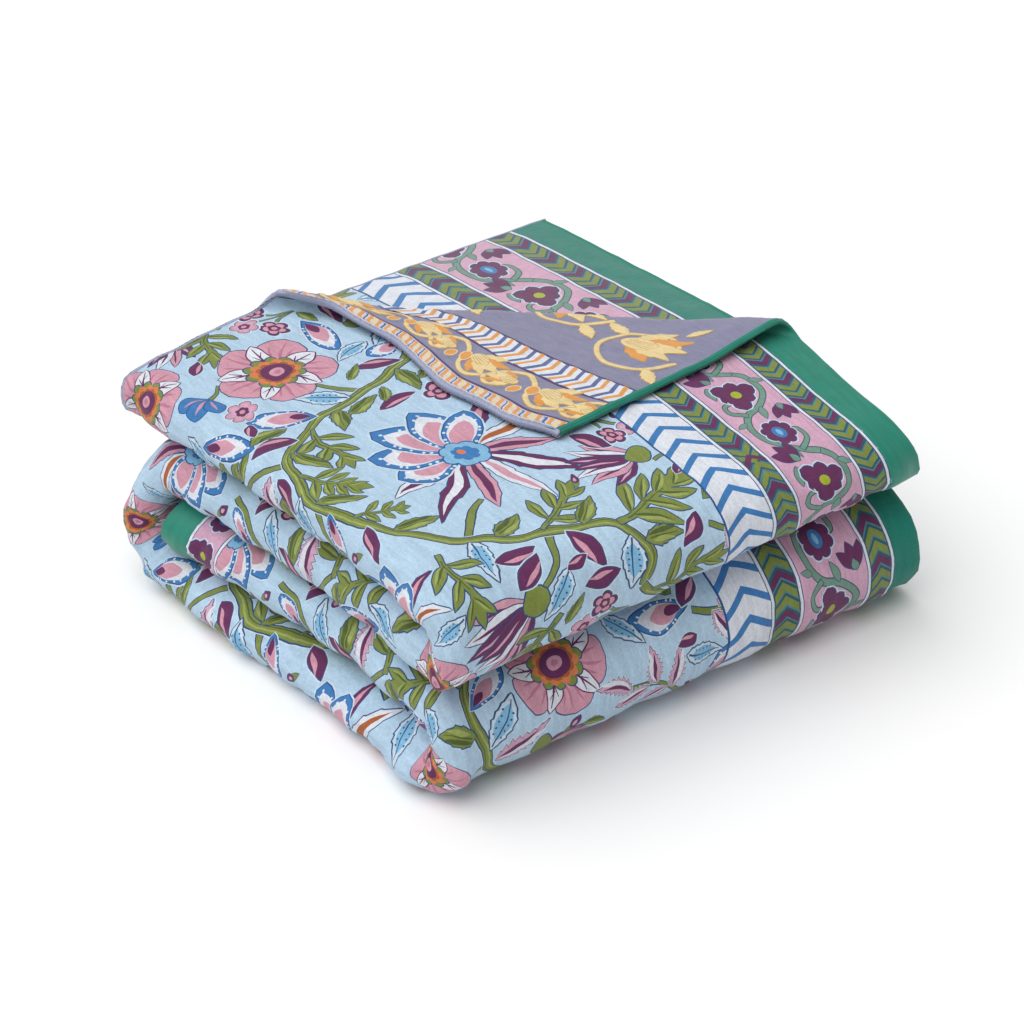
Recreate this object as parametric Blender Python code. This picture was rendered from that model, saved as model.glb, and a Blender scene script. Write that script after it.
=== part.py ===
"""A quilted bedspread folded into a low stack, lying flat. Metres, +Z up.

The cloth is first folded twice across its width, into a strip of four plies with rolled folds at -X and its free
edges at +X. The strip is then folded along its length into four limbs, with smooth folds at -Y. The second limb
goes down round the end of the last one at +Y. One corner of the top ply is turned back. Each piece is drawn flat,
with s along the cloth's length and w across it, and folded() carries its points to where they lie.
"""

import math

import bmesh
import bpy
from mathutils import Vector

# The quilted cloth
PLY = 0.009  # thickness of the quilted cloth
PLY_GAP = 0.002  # air between two plies
PLY_PITCH = PLY + PLY_GAP
EDGE_SHARE = 0.55  # thickness left at a sewn edge
EDGE_TAPER = 0.035  # distance over which it thins out
LIMB = 0.045  # height of one limb of four plies

# The edge trims
STRIP_WIDTH = 0.040  # green strips on the face
PIPING_WIDTH = 0.006  # grey piping
SEAM = 0.0005  # gap between two sewn pieces

# Where the folds lie, before the stack settles
ROLL_X = -0.208  # centre line of the rolled folds
TOP_EDGE_X = 0.236  # free edge of the outer ply
FAR_FOLD_X = 0.221  # centre line of the fold opposite the rolls
INNER_EDGE_X = 0.222  # free edge of the inner ply
FIRST_END_Y = 0.229  # end of the first limb, with the piping
SMOOTH_FOLD_Y = -0.168  # centre line of the smooth folds
WRAP_Y = 0.160  # centre line of the wrap
LAST_END_Y = 0.166  # end of the last limb, with the end strip

# The turned corner of the top ply
CORNER_WAY = Vector((0.665, 0.747))  # plan direction from the stack to the corner
CORNER_FROM = 0.106  # where the ply starts to lift, measured that way
CORNER_RADIUS = 0.009
CORNER_REST = 0.0108  # height of the turned ply over the one that it lies on
CORNER_SETTLE = 0.070  # distance over which it comes down to that height
CORNER_PERK = 0.005  # how far its fold stands up where it meets an edge
PERK_REACH = 0.050
CORNER_STEPS = 7

# How the stack settles
STACK_LENGTH, STACK_WIDTH, STACK_HEIGHT = 0.46, 0.42, 0.18
FLARE = 0.042  # how far the rolls lean out at +Y
LOWER_FLARE = 0.026  # how much further the lower ones do
EDGE_LEAN = 0.024  # how far the free edges lean in at +Y
NEAR_DRAW = 0.046  # how far the top's free edge draws in at -Y
SKEW = 0.044  # how far the +X side reaches further at +Y
END_ROUNDING = 0.034  # how far the roll ends draw in at +Y
WRAP_SQUARE = 0.012  # how far the wrap's top and bottom stand out past a half circle
NEAR_CORNER = 0.009  # how far the roll ends stand out at -Y
NEAR_SPREAD = 0.006  # how far they spread there towards -X
LOWER_PUFF = 0.024  # rise of the lower limbs towards +X
TOP_DROP = 0.003  # fall of the top towards +X
CROWN = 0.005  # rise of the middle of the top
PUCKER = 0.0014
PUCKER_PITCH = 0.066

# Runs across the width: name, length, turn, steps. A fold turns half round, left when its turn is positive.
ACROSS = (
    ("outer top ply", TOP_EDGE_X - ROLL_X, 0.0, 12),
    ("outer roll", 1.5 * PLY_PITCH * math.pi, math.pi, 8),
    ("outer bottom ply", FAR_FOLD_X - ROLL_X, 0.0, 8),
    ("far fold", 0.5 * PLY_PITCH * math.pi, math.pi, 4),
    ("inner bottom ply", FAR_FOLD_X - ROLL_X, 0.0, 5),
    ("inner roll", 0.5 * PLY_PITCH * math.pi, -math.pi, 4),
    ("inner top ply", INNER_EDGE_X - ROLL_X, 0.0, 6),
)
# Runs along the length, from the top of the stack, with the same columns.
ALONG = (
    ("first limb", FIRST_END_Y - SMOOTH_FOLD_Y, 0.0, 12),
    ("upper smooth fold", 0.5 * LIMB * math.pi, math.pi, 9),
    ("second limb", WRAP_Y - SMOOTH_FOLD_Y, 0.0, 6),
    ("wrap", LIMB * math.pi, -math.pi, 9),
    ("lowest limb", WRAP_Y - SMOOTH_FOLD_Y, 0.0, 6),
    ("lower smooth fold", 0.5 * LIMB * math.pi, -math.pi, 9),
    ("last limb", LAST_END_Y - SMOOTH_FOLD_Y, 0.0, 6),
)
ACROSS_START = Vector((TOP_EDGE_X, 1.5 * PLY_PITCH))
ALONG_START = Vector((FIRST_END_Y, 3.5 * LIMB))
WIDTH = sum(run[1] for run in ACROSS)
LENGTH = sum(run[1] for run in ALONG)
TOP_PLY_WIDTH = ACROSS[0][1]
FIRST_LIMB_LENGTH = ALONG[0][1]

MATERIALS = {
    # name: (colour, roughness)
    "printed_cotton": ((0.40, 0.60, 0.78, 1.0), 0.9),
    "green_binding": ((0.01, 0.24, 0.14, 1.0), 0.85),
    "grey_piping": ((0.45, 0.46, 0.50, 1.0), 0.85),
}


def clear_scene():
    for thing in list(bpy.data.objects):
        bpy.data.objects.remove(thing)


def ease(value):
    """0 below 0, 1 above 1, smooth between."""
    value = min(max(value, 0.0), 1.0)
    return value * value * (3.0 - 2.0 * value)


def on_path(runs, start, distance):
    """Point and right-hand side of a path that starts towards -first axis, at this distance along it."""
    point, heading = start.copy(), math.pi
    for _, length, turn, _ in runs:
        step = min(distance, length)
        ahead = Vector((math.cos(heading), math.sin(heading)))
        left = Vector((-ahead.y, ahead.x))
        if turn:
            radius = length / turn
            angle = step / radius
            point += ahead * radius * math.sin(angle) + left * radius * (1.0 - math.cos(angle))
            heading += angle
        else:
            point += ahead * step
        distance -= step
        if distance <= 0.0:
            break
    return point, Vector((math.sin(heading), -math.cos(heading)))


def thickness(s, w):
    """Of the cloth, which thins out at its sewn edges."""
    inside = min(s, LENGTH - s, w, WIDTH - w)
    return PLY * (EDGE_SHARE + (1.0 - EDGE_SHARE) * ease(inside / EDGE_TAPER))


def turned_corner(x, y, height):
    """Place of a point of the top ply once its corner is turned back. Height is over the ply's middle."""
    from_edge = min(TOP_EDGE_X - x, FIRST_END_Y - y)
    past = CORNER_WAY.dot(Vector((x, y))) - CORNER_FROM
    if past <= 0.0:
        return x, y, height
    half_turn = math.pi * CORNER_RADIUS
    angle = min(past, half_turn) / CORNER_RADIUS
    back = max(past - half_turn, 0.0)
    drop = (2.0 * CORNER_RADIUS - CORNER_REST) * ease(back / CORNER_SETTLE)
    ahead = (CORNER_RADIUS - height) * math.sin(angle) - back
    lift = CORNER_RADIUS - (CORNER_RADIUS - height) * math.cos(angle) - drop
    perk = (1.0 - math.cos(angle)) * (1.0 - ease(back / CORNER_SETTLE)) * (1.0 - ease(from_edge / PERK_REACH))
    lift += 0.5 * CORNER_PERK * perk
    moved = Vector((x, y)) + CORNER_WAY * (ahead - past)
    return moved.x, moved.y, lift


def settled(x, y, z):
    """The soft unevenness of the whole stack. It keeps z = 0 flat."""
    near_rolls = ease((0.05 - x) / 0.25)
    far = (y - SMOOTH_FOLD_Y) / STACK_WIDTH
    side = (x - ROLL_X) / STACK_LENGTH
    level = z / STACK_HEIGHT
    lean = FLARE + LOWER_FLARE * (1.0 - ease(2.0 * level - 0.5))
    new_x = x - max(far, 0.0) ** 1.5 * (lean * (1.0 - side) + EDGE_LEAN * side)
    new_x -= NEAR_SPREAD * (1.0 - side) ** 2 * ease((-y - 0.08) / 0.12)
    new_x -= NEAR_DRAW * max(side, 0.0) ** 2 * ease(-y / 0.2) * level
    new_x += PUCKER * near_rolls * math.sin(math.tau * y / PUCKER_PITCH + 9.0 * level)
    new_y = y + SKEW * side * far - END_ROUNDING * ease((-0.07 - x) / 0.20) * max(far, 0.0) ** 3
    from_wrap = min(abs(level / WRAP_LEVEL - 1.0), 1.0)
    new_y += WRAP_SQUARE * ease((far - 0.70) / 0.20) * from_wrap**2
    new_y -= NEAR_CORNER * ease((ROLL_X + 0.01 - x) / 0.03) * ease((-y - 0.10) / 0.08)
    new_y += PUCKER * ease(-y / 0.2) * math.sin(math.tau * x / PUCKER_PITCH + 5.0 * level)
    crease = 0.5 * STACK_HEIGHT + LOWER_PUFF * ease(0.15 + 0.85 * side) - 0.1 * LOWER_PUFF
    middle = (1.0 - (2.0 * side - 1.0) ** 2) * (1.0 - (2.0 * far - 1.0) ** 2)
    top = STACK_HEIGHT - TOP_DROP * ease(side) * (1.0 - ease(far)) + CROWN * max(middle, 0.0)
    if level < 0.5:
        new_z = crease * 2.0 * level
    else:
        new_z = crease + (top - crease) * (2.0 * level - 1.0)
    return Vector((new_x, new_y, new_z))


def folded(s, w, offset):
    """Place in the stack of the point at s, w of the flat cloth, offset towards its printed face."""
    across, out = on_path(ACROSS, ACROSS_START, w)
    x, height = across + out * offset
    if w <= TOP_PLY_WIDTH and s <= FIRST_LIMB_LENGTH:
        middle = ACROSS_START.y
        x, y, lift = turned_corner(x, FIRST_END_Y - s, height - middle)
        return settled(x, y, ALONG_START.y + middle + lift - BOTTOM)
    along, up = on_path(ALONG, ALONG_START, s)
    y, z = along + up * height
    return settled(x, y, z - BOTTOM)


WRAP_LEVEL = 1.5 * LIMB / STACK_HEIGHT  # middle of the wrap, as a share of the height
BOTTOM = 0.5 * LIMB - 1.5 * PLY_PITCH - 0.5 * PLY  # lowest surface, before it is set at z = 0


def stations(runs):
    """Distances at which a path is divided."""
    found, total = [0.0], 0.0
    for _, length, _, steps in runs:
        found += [total + length * (i + 1) / steps for i in range(steps)]
        total += length
    return found


def cut_to(lines, first, last, least=0.002):
    """The lines between first and last, with those two as ends."""
    return [first] + [line for line in lines if first + least < line < last - least] + [last]


def flat_mesh(s_lines, w_lines):
    """A grid in s and w, divided along the turned corner's curve."""
    grid = bmesh.new()
    rows = [[grid.verts.new((s, w, 0.0)) for w in w_lines] for s in s_lines]
    for row, after in zip(rows, rows[1:]):
        for i in range(len(w_lines) - 1):
            grid.faces.new((row[i], after[i], after[i + 1], row[i + 1]))
    way = Vector((-CORNER_WAY.y, -CORNER_WAY.x, 0.0))
    start = CORNER_WAY.dot(Vector((TOP_EDGE_X, FIRST_END_Y)))
    half_turn = math.pi * CORNER_RADIUS
    cuts = [half_turn * i / CORNER_STEPS for i in range(CORNER_STEPS + 1)]
    cuts += [half_turn + CORNER_SETTLE * 0.5, half_turn + CORNER_SETTLE]
    for cut in cuts:
        # On the top ply a step of s is one towards -Y and a step of w is one towards -X.
        place = way * (start - CORNER_FROM - cut)
        everything = grid.verts[:] + grid.edges[:] + grid.faces[:]
        bmesh.ops.bisect_plane(grid, geom=everything, dist=1e-6, plane_co=-place, plane_no=way)
    bmesh.ops.triangulate(grid, faces=grid.faces[:])
    return grid


def folded_piece(name, s_lines, w_lines, material):
    """One closed solid: the flat piece's two sides carried to the stack, joined round their rim."""
    flat = flat_mesh(s_lines, w_lines)
    solid = bmesh.new()
    sides = {}
    for side in (0.5, -0.5):
        for vert in flat.verts:
            s, w, _ = vert.co
            sides[vert, side] = solid.verts.new(folded(s, w, side * thickness(s, w)))
    for face in flat.faces:
        for side in (0.5, -0.5):
            corners = [sides[vert, side] for vert in face.verts]
            solid.faces.new(corners if side > 0.0 else corners[::-1])
    for edge in flat.edges:
        if not edge.is_boundary:
            continue
        a, b = sorted(edge.verts, key=lambda vert: (round(vert.co.x, 5), vert.co.y))
        solid.faces.new((sides[a, 0.5], sides[b, 0.5], sides[b, -0.5]))
        solid.faces.new((sides[a, 0.5], sides[b, -0.5], sides[a, -0.5]))
    bmesh.ops.recalc_face_normals(solid, faces=solid.faces[:])
    mesh = bpy.data.meshes.new(name)
    solid.to_mesh(mesh)
    flat.free()
    solid.free()
    mesh.shade_smooth()
    mesh.set_sharp_from_angle(angle=math.radians(50))
    mesh.materials.append(material)
    piece = bpy.data.objects.new(name, mesh)
    bpy.context.scene.collection.objects.link(piece)
    return piece


def make_material(name):
    colour, roughness = MATERIALS[name]
    material = bpy.data.materials.new(name)
    material.use_nodes = True
    shader = material.node_tree.nodes["Principled BSDF"]
    shader.inputs["Base Color"].default_value = colour
    shader.inputs["Roughness"].default_value = roughness
    return material


def set_on_origin(pieces):
    """Centres the stack over the origin."""
    corners = [piece.matrix_world @ vert.co for piece in pieces for vert in piece.data.vertices]
    middle_x = 0.5 * (min(c.x for c in corners) + max(c.x for c in corners))
    middle_y = 0.5 * (min(c.y for c in corners) + max(c.y for c in corners))
    low = min(c.z for c in corners)
    for piece in pieces:
        for vert in piece.data.vertices:
            vert.co -= Vector((middle_x, middle_y, low))


def build():
    clear_scene()
    cotton, green, grey = (make_material(name) for name in MATERIALS)
    s_all, w_all = stations(ALONG), stations(ACROSS)
    s_panel = cut_to(s_all, PIPING_WIDTH + SEAM, LENGTH - STRIP_WIDTH - SEAM)
    w_panel = cut_to(w_all, STRIP_WIDTH + SEAM, WIDTH - STRIP_WIDTH - SEAM)
    s_strip = cut_to(s_all, PIPING_WIDTH + SEAM, LENGTH)
    pieces = [
        folded_piece("quilted_panel", s_panel, w_panel, cotton),
        folded_piece("side_strip_top", s_strip, cut_to(w_all, 0.0, STRIP_WIDTH), green),
        folded_piece("side_strip_inner", s_strip, cut_to(w_all, WIDTH - STRIP_WIDTH, WIDTH), green),
        folded_piece("end_strip", cut_to(s_all, LENGTH - STRIP_WIDTH, LENGTH), w_panel, green),
        folded_piece("end_piping", [0.0, PIPING_WIDTH], w_all, grey),
    ]
    set_on_origin(pieces)


build()
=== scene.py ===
"""A jacquard bedspread, folded in four: its quilted cloth, its green binding and its grey piping."""

import math

import bpy
import numpy as np
from mathutils import Matrix, Vector
from mathutils.geometry import delaunay_2d_cdt


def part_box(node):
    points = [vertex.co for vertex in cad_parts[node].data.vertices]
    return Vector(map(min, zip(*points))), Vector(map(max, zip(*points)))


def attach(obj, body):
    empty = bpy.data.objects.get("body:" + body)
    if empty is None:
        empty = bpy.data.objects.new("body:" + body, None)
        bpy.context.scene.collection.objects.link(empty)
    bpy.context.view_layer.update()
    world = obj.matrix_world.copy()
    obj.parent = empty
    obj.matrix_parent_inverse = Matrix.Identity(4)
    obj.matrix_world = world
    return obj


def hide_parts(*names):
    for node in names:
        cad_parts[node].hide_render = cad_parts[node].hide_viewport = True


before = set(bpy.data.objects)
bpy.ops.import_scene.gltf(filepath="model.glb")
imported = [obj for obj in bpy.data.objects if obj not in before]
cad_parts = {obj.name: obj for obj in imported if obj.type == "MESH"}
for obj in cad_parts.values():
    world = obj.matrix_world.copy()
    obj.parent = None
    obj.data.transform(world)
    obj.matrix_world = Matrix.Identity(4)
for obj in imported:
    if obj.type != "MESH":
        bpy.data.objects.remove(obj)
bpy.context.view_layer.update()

# ---------------- the folded cloth, as in the part's source, in metres

PLY = 0.009
PLY_GAP = 0.002
PLY_PITCH = PLY + PLY_GAP
EDGE_SHARE = 0.55
EDGE_TAPER = 0.035
LIMB = 0.045
STRIP_WIDTH = 0.040

ROLL_X = -0.208
TOP_EDGE_X = 0.236
FAR_FOLD_X = 0.221
INNER_EDGE_X = 0.222
FIRST_END_Y = 0.229
SMOOTH_FOLD_Y = -0.168
WRAP_Y = 0.160
LAST_END_Y = 0.166

CORNER_WAY = np.array((0.665, 0.747))
CORNER_FROM = 0.106
CORNER_RADIUS = 0.009
CORNER_REST = 0.0108
CORNER_SETTLE = 0.070
CORNER_PERK = 0.005
PERK_REACH = 0.050
CURL_LEFT, CURL_RIGHT, CURL_BLEND = -0.215, 0.205, 0.120
CURL_TIGHTER, CURL_NEARER = 0.0034, 0.010
LEAST_FLAP = 0.001
FLAP_BOW, FLAP_DRAW = 0.012, 0.026
BOW_FROM_SIDE, DRAW_FROM_SIDE = (0.0, 0.045), (0.10, 0.10)
BOW_FROM_CURL, BOW_FROM_END = (0.0, 0.035), (0.0, 0.14)

STACK_LENGTH, STACK_WIDTH, STACK_HEIGHT = 0.46, 0.42, 0.18
FLARE, LOWER_FLARE, EDGE_LEAN = 0.042, 0.026, 0.024
NEAR_DRAW, SKEW, END_ROUNDING = 0.046, 0.044, 0.034
WRAP_SQUARE, NEAR_CORNER, NEAR_SPREAD = 0.012, 0.009, 0.006
LOWER_PUFF, TOP_DROP, CROWN = 0.024, 0.003, 0.005
PUCKER, PUCKER_PITCH = 0.0014, 0.066
PUCKER_SLANT_X, PUCKER_SLANT_Y = 9.0, 5.0
LOWEST_SPREAD = 0.015

# Where each change starts, and over how much it fades in: leftwards along -x, near along -y, back along y and
# down along -z. The wrap's is a share of the way to it from the smooth folds.
ROLLS_LEFT, ROUNDING_LEFT = (-0.05, 0.25), (0.07, 0.20)
CORNER_LEFT, LOWEST_LEFT = (-0.01 - ROLL_X, 0.03), (0.14, 0.07)
SPREAD_NEAR, DRAW_NEAR = (0.08, 0.12), (0.0, 0.2)
CORNER_NEAR, LOWEST_NEAR = (0.10, 0.08), (-0.15, 0.14)
WRAP_BACK, LOWEST_BACK = (0.70, 0.20), (-0.247, 0.05)
LOWEST_DOWN = (-0.048, 0.03)

# Each run is its name, its length and the angle it turns through, then what the outer face measures there
# against the middle of the cloth, because the print is laid on the outer face.
ACROSS = (
    ("outer top ply", TOP_EDGE_X - ROLL_X, 0.0, 1.0),
    ("outer roll", 1.5 * PLY_PITCH * math.pi, math.pi, 1.27),
    ("outer bottom ply", FAR_FOLD_X - ROLL_X, 0.0, 1.0),
    ("far fold", 0.5 * PLY_PITCH * math.pi, math.pi, 1.8),
    ("inner bottom ply", FAR_FOLD_X - ROLL_X, 0.0, 1.0),
    ("inner roll", 0.5 * PLY_PITCH * math.pi, -math.pi, 1.0),
    ("inner top ply", INNER_EDGE_X - ROLL_X, 0.0, 1.0),
)
ALONG = (
    ("first limb", FIRST_END_Y - SMOOTH_FOLD_Y, 0.0, 1.0),
    ("upper smooth fold", 0.5 * LIMB * math.pi, math.pi, 1.93),
    ("second limb", WRAP_Y - SMOOTH_FOLD_Y, 0.0, 1.0),
    ("wrap", LIMB * math.pi, -math.pi, 1.47),
    ("lowest limb", WRAP_Y - SMOOTH_FOLD_Y, 0.0, 1.0),
    ("lower smooth fold", 0.5 * LIMB * math.pi, -math.pi, 1.93),
    ("last limb", LAST_END_Y - SMOOTH_FOLD_Y, 0.0, 1.0),
)
ACROSS_START = np.array((TOP_EDGE_X, 1.5 * PLY_PITCH))
ALONG_START = np.array((FIRST_END_Y, 3.5 * LIMB))
WIDTH = sum(length for _, length, _, _ in ACROSS)
LENGTH = sum(length for _, length, _, _ in ALONG)
TOP_PLY_WIDTH = ACROSS[0][1]
FIRST_LIMB_LENGTH = ALONG[0][1]
WRAP_LEVEL = 1.5 * LIMB / STACK_HEIGHT
BOTTOM = 0.5 * LIMB - 1.5 * PLY_PITCH - 0.5 * PLY


def ease(value):
    value = np.clip(value, 0.0, 1.0)
    return value * value * (3.0 - 2.0 * value)


def fade(value, start, over):
    """From 0 where the value is start to 1 where it is that much more."""
    return ease((value - start) / over)


def on_path(runs, start, distance):
    """The points at these distances along the runs, and the direction to the right of the path at each."""
    points = np.zeros(distance.shape + (2,))
    sides = np.zeros(distance.shape + (2,))
    point, heading, done = np.array(start), math.pi, 0.0
    for _, length, turn, _ in runs:
        here = distance >= done
        step = np.minimum(distance[here] - done, length)
        ahead = np.array((math.cos(heading), math.sin(heading)))
        left = np.array((-ahead[1], ahead[0]))
        angle = turn * step / length
        if turn:
            radius = length / turn
            arc = np.outer(np.sin(angle), ahead) + np.outer(1.0 - np.cos(angle), left)
            points[here] = point + radius * arc
            point = point + radius * (ahead * math.sin(turn) + left * (1.0 - math.cos(turn)))
        else:
            points[here] = point + np.outer(step, ahead)
            point = point + ahead * length
        sides[here] = np.stack([np.sin(heading + angle), -np.cos(heading + angle)], -1)
        heading += turn
        done += length
    return points, sides


def thickness(s, w):
    inside = np.minimum(np.minimum(s, LENGTH - s), np.minimum(w, WIDTH - w))
    return PLY * (EDGE_SHARE + (1.0 - EDGE_SHARE) * ease(inside / EDGE_TAPER))


def turned_corner(x, y, height):
    """The first limb's top ply, rolled over where it passes the corner line."""
    along = CORNER_WAY[1] * x - CORNER_WAY[0] * y
    tight = ease((CURL_RIGHT - along) / CURL_BLEND) * ease((along - CURL_LEFT) / CURL_BLEND)
    radius = CORNER_RADIUS - CURL_TIGHTER * tight
    nearer = CURL_NEARER * tight
    half_turn = math.pi * radius
    past = CORNER_WAY[0] * x + CORNER_WAY[1] * y - CORNER_FROM + nearer
    edge_y = np.minimum(FIRST_END_Y, (CORNER_WAY[1] * TOP_EDGE_X - along) / CORNER_WAY[0])
    edge_x = np.minimum(TOP_EDGE_X, (along + CORNER_WAY[0] * FIRST_END_Y) / CORNER_WAY[1])
    edge_past = CORNER_WAY[0] * edge_x + CORNER_WAY[1] * edge_y - CORNER_FROM
    reach = np.maximum(edge_past - math.pi * CORNER_RADIUS - nearer, LEAST_FLAP)
    drawn_up = np.minimum(reach / np.maximum(edge_past + nearer - half_turn, LEAST_FLAP), 1.0)
    angle = np.clip(past, 0.0, half_turn) / radius
    flap = np.maximum(past - half_turn, 0.0)
    back = flap * drawn_up
    from_edge = np.minimum(TOP_EDGE_X - x, FIRST_END_Y - y)
    drop = (2.0 * radius - CORNER_REST) * ease(back / CORNER_SETTLE)
    ahead = (radius - height) * np.sin(angle) - back
    lift = radius - (radius - height) * np.cos(angle) - drop
    perk = (1.0 - np.cos(angle)) * (1.0 - ease(back / CORNER_SETTLE)) * (1.0 - ease(from_edge / PERK_REACH))
    lift = lift + 0.5 * CORNER_PERK * perk
    shift = ahead - np.maximum(past, 0.0)
    from_side, from_end = TOP_EDGE_X - x, FIRST_END_Y - y
    bow = FLAP_BOW * fade(from_side, *BOW_FROM_SIDE) - FLAP_DRAW * fade(from_side, *DRAW_FROM_SIDE)
    bow = bow * fade(flap, *BOW_FROM_CURL) * (1.0 - fade(from_end, *BOW_FROM_END))
    return x + CORNER_WAY[0] * shift - bow, y + CORNER_WAY[1] * shift, lift


def settled(x, y, z):
    """The stack's ideal shape, leant and rounded as it lies."""
    near_rolls = fade(-x, *ROLLS_LEFT)
    far = (y - SMOOTH_FOLD_Y) / STACK_WIDTH
    side = (x - ROLL_X) / STACK_LENGTH
    level = z / STACK_HEIGHT
    lean = FLARE + LOWER_FLARE * (1.0 - ease(2.0 * level - 0.5))
    new_x = x - np.maximum(far, 0.0) ** 1.5 * (lean * (1.0 - side) + EDGE_LEAN * side)
    new_x -= NEAR_SPREAD * (1.0 - side) ** 2 * fade(-y, *SPREAD_NEAR)
    new_x -= NEAR_DRAW * np.maximum(side, 0.0) ** 2 * fade(-y, *DRAW_NEAR) * level
    new_x += PUCKER * near_rolls * np.sin(math.tau * y / PUCKER_PITCH + PUCKER_SLANT_X * level)
    new_y = y + SKEW * side * far - END_ROUNDING * fade(-x, *ROUNDING_LEFT) * np.maximum(far, 0.0) ** 3
    from_wrap = np.minimum(np.abs(level / WRAP_LEVEL - 1.0), 1.0)
    new_y += WRAP_SQUARE * fade(far, *WRAP_BACK) * from_wrap**2
    new_y -= NEAR_CORNER * fade(-x, *CORNER_LEFT) * fade(-y, *CORNER_NEAR)
    new_y += PUCKER * fade(-y, *DRAW_NEAR) * np.sin(math.tau * x / PUCKER_PITCH + PUCKER_SLANT_Y * level)
    crease = 0.5 * STACK_HEIGHT + LOWER_PUFF * ease(0.15 + 0.85 * side) - 0.1 * LOWER_PUFF
    middle = (1.0 - (2.0 * side - 1.0) ** 2) * (1.0 - (2.0 * far - 1.0) ** 2)
    top = STACK_HEIGHT - TOP_DROP * ease(side) * (1.0 - ease(far)) + CROWN * np.maximum(middle, 0.0)
    new_z = np.where(level < 0.5, crease * 2.0 * level, crease + (top - crease) * (2.0 * level - 1.0))
    return np.stack([new_x, new_y, new_z], -1)


def folded(s, w, offset):
    """Where points of the flat cloth lie: s from its first end, w from its first side, offset to its face."""
    across, out = on_path(ACROSS, ACROSS_START, w)
    x, height = (across + out * offset[..., None]).T
    on_flap = (w <= TOP_PLY_WIDTH) & (s <= FIRST_LIMB_LENGTH)
    middle = ACROSS_START[1]
    flap_x, flap_y, lift = turned_corner(x, FIRST_END_Y - s, height - middle)
    along, up = on_path(ALONG, ALONG_START, s)
    y, z = (along + up * height[..., None]).T
    x = np.where(on_flap, flap_x, x)
    y = np.where(on_flap, flap_y, y)
    z = np.where(on_flap, ALONG_START[1] + middle + lift, z)
    return settled(x, y, z - BOTTOM)


def to_row_frame():
    """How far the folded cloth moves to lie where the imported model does."""
    s, w = np.meshgrid(np.linspace(0.0, LENGTH, 700), np.linspace(0.0, WIDTH, 700))
    s, w = s.ravel(), w.ravel()
    shell = np.vstack([folded(s, w, side * thickness(s, w)) for side in (0.5, -0.5)])
    boxes = [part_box(name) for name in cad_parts]
    low = np.min([box[0] for box in boxes], 0)
    high = np.max([box[1] for box in boxes], 0)
    move = 0.5 * (low + high - shell.min(0) - shell.max(0))
    move[2] = low[2] - shell[:, 2].min()
    return move


MOVE = to_row_frame()


# ---------------- the print's own coordinates, in millimetres

def chart(runs):
    """Stations along the runs of the flat cloth, and how far along its printed face each one is."""
    stations = np.cumsum([0.0] + [length for _, length, _, _ in runs])
    printed = np.cumsum([0.0] + [1000.0 * length * stretch for _, length, _, stretch in runs])
    return stations, printed


ALONG_CHART = chart(ALONG)
ACROSS_CHART = chart(ACROSS)
PRINT_LENGTH = ALONG_CHART[1][-1]
PRINT_WIDTH = ACROSS_CHART[1][-1]


def to_print(chart, station):
    return np.interp(station, *chart)


def to_cloth(chart, printed):
    return np.interp(printed, chart[1], chart[0])


# ---------------- printed outlines in millimetres, at the origin

def outline_of(half_widths, along):
    upper = np.stack([along, half_widths], 1)
    return np.vstack([upper, upper[-2:0:-1] * (1.0, -1.0)])


def warped(share, fullest):
    """The share of the length, warped so that half of it comes at the fullest place."""
    return share ** (math.log(0.5) / math.log(fullest))


def blade(length, width, fullest=0.45, blunt=1.0, points=15):
    """A leaf or petal from the origin along +x, widest at a share of its length. A low bluntness gives it a
    round end."""
    share = np.linspace(0.0, 1.0, points)
    return outline_of(0.5 * width * np.sin(math.pi * warped(share, fullest)) ** blunt, length * share)


def toothed(length, width, teeth, fullest=0.4, depth=0.35):
    """A leaf with teeth that lean towards its tip."""
    share = np.array([[k / teeth, (k + 0.8) / teeth] for k in range(teeth)]).ravel()
    share = np.append(share, 1.0)
    half = 0.5 * width * np.sin(math.pi * warped(share, fullest))
    half[2:-1:2] *= 1.0 - depth
    half[0] = 0.03 * width
    return outline_of(half, length * share)


def scalloped(radius, lobes, depth, points_a_lobe=6, start=0.0):
    """A round shape with soft lobes."""
    turn = np.linspace(0.0, math.tau, lobes * points_a_lobe, endpoint=False)
    reach = radius * (1.0 - depth * (1.0 - np.abs(np.sin(0.5 * lobes * turn)) ** 0.7))
    return np.stack([reach * np.cos(turn + start), reach * np.sin(turn + start)], 1)


def disc(radius, points=14, squash=1.0):
    turn = np.linspace(0.0, math.tau, points, endpoint=False)
    return np.stack([radius * np.cos(turn), squash * radius * np.sin(turn)], 1)


def smooth_line(knots, steps=10):
    """A curve through the knots."""
    knots = np.asarray(knots, float)
    ends = np.vstack([2.0 * knots[0] - knots[1], knots, 2.0 * knots[-1] - knots[-2]])
    share = np.linspace(0.0, 1.0, steps, endpoint=False)[:, None]
    pieces = []
    for a, b, c, d in zip(ends, ends[1:], ends[2:], ends[3:]):
        pieces.append(0.5 * (2.0 * b + (c - a) * share + (2.0 * a - 5.0 * b + 4.0 * c - d) * share**2
                             + (3.0 * b - a - 3.0 * c + d) * share**3))
    return np.vstack(pieces + [knots[-1:]])


def ribbon(line, start_width, end_width):
    """A stem along a line, with its width running from one end's to the other's."""
    way = np.gradient(line, axis=0)
    way /= np.linalg.norm(way, axis=1)[:, None] + 1e-9
    side = np.stack([-way[:, 1], way[:, 0]], 1)
    half = 0.5 * np.linspace(start_width, end_width, len(line))[:, None]
    return np.vstack([line + side * half, (line - side * half)[::-1]])


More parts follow.
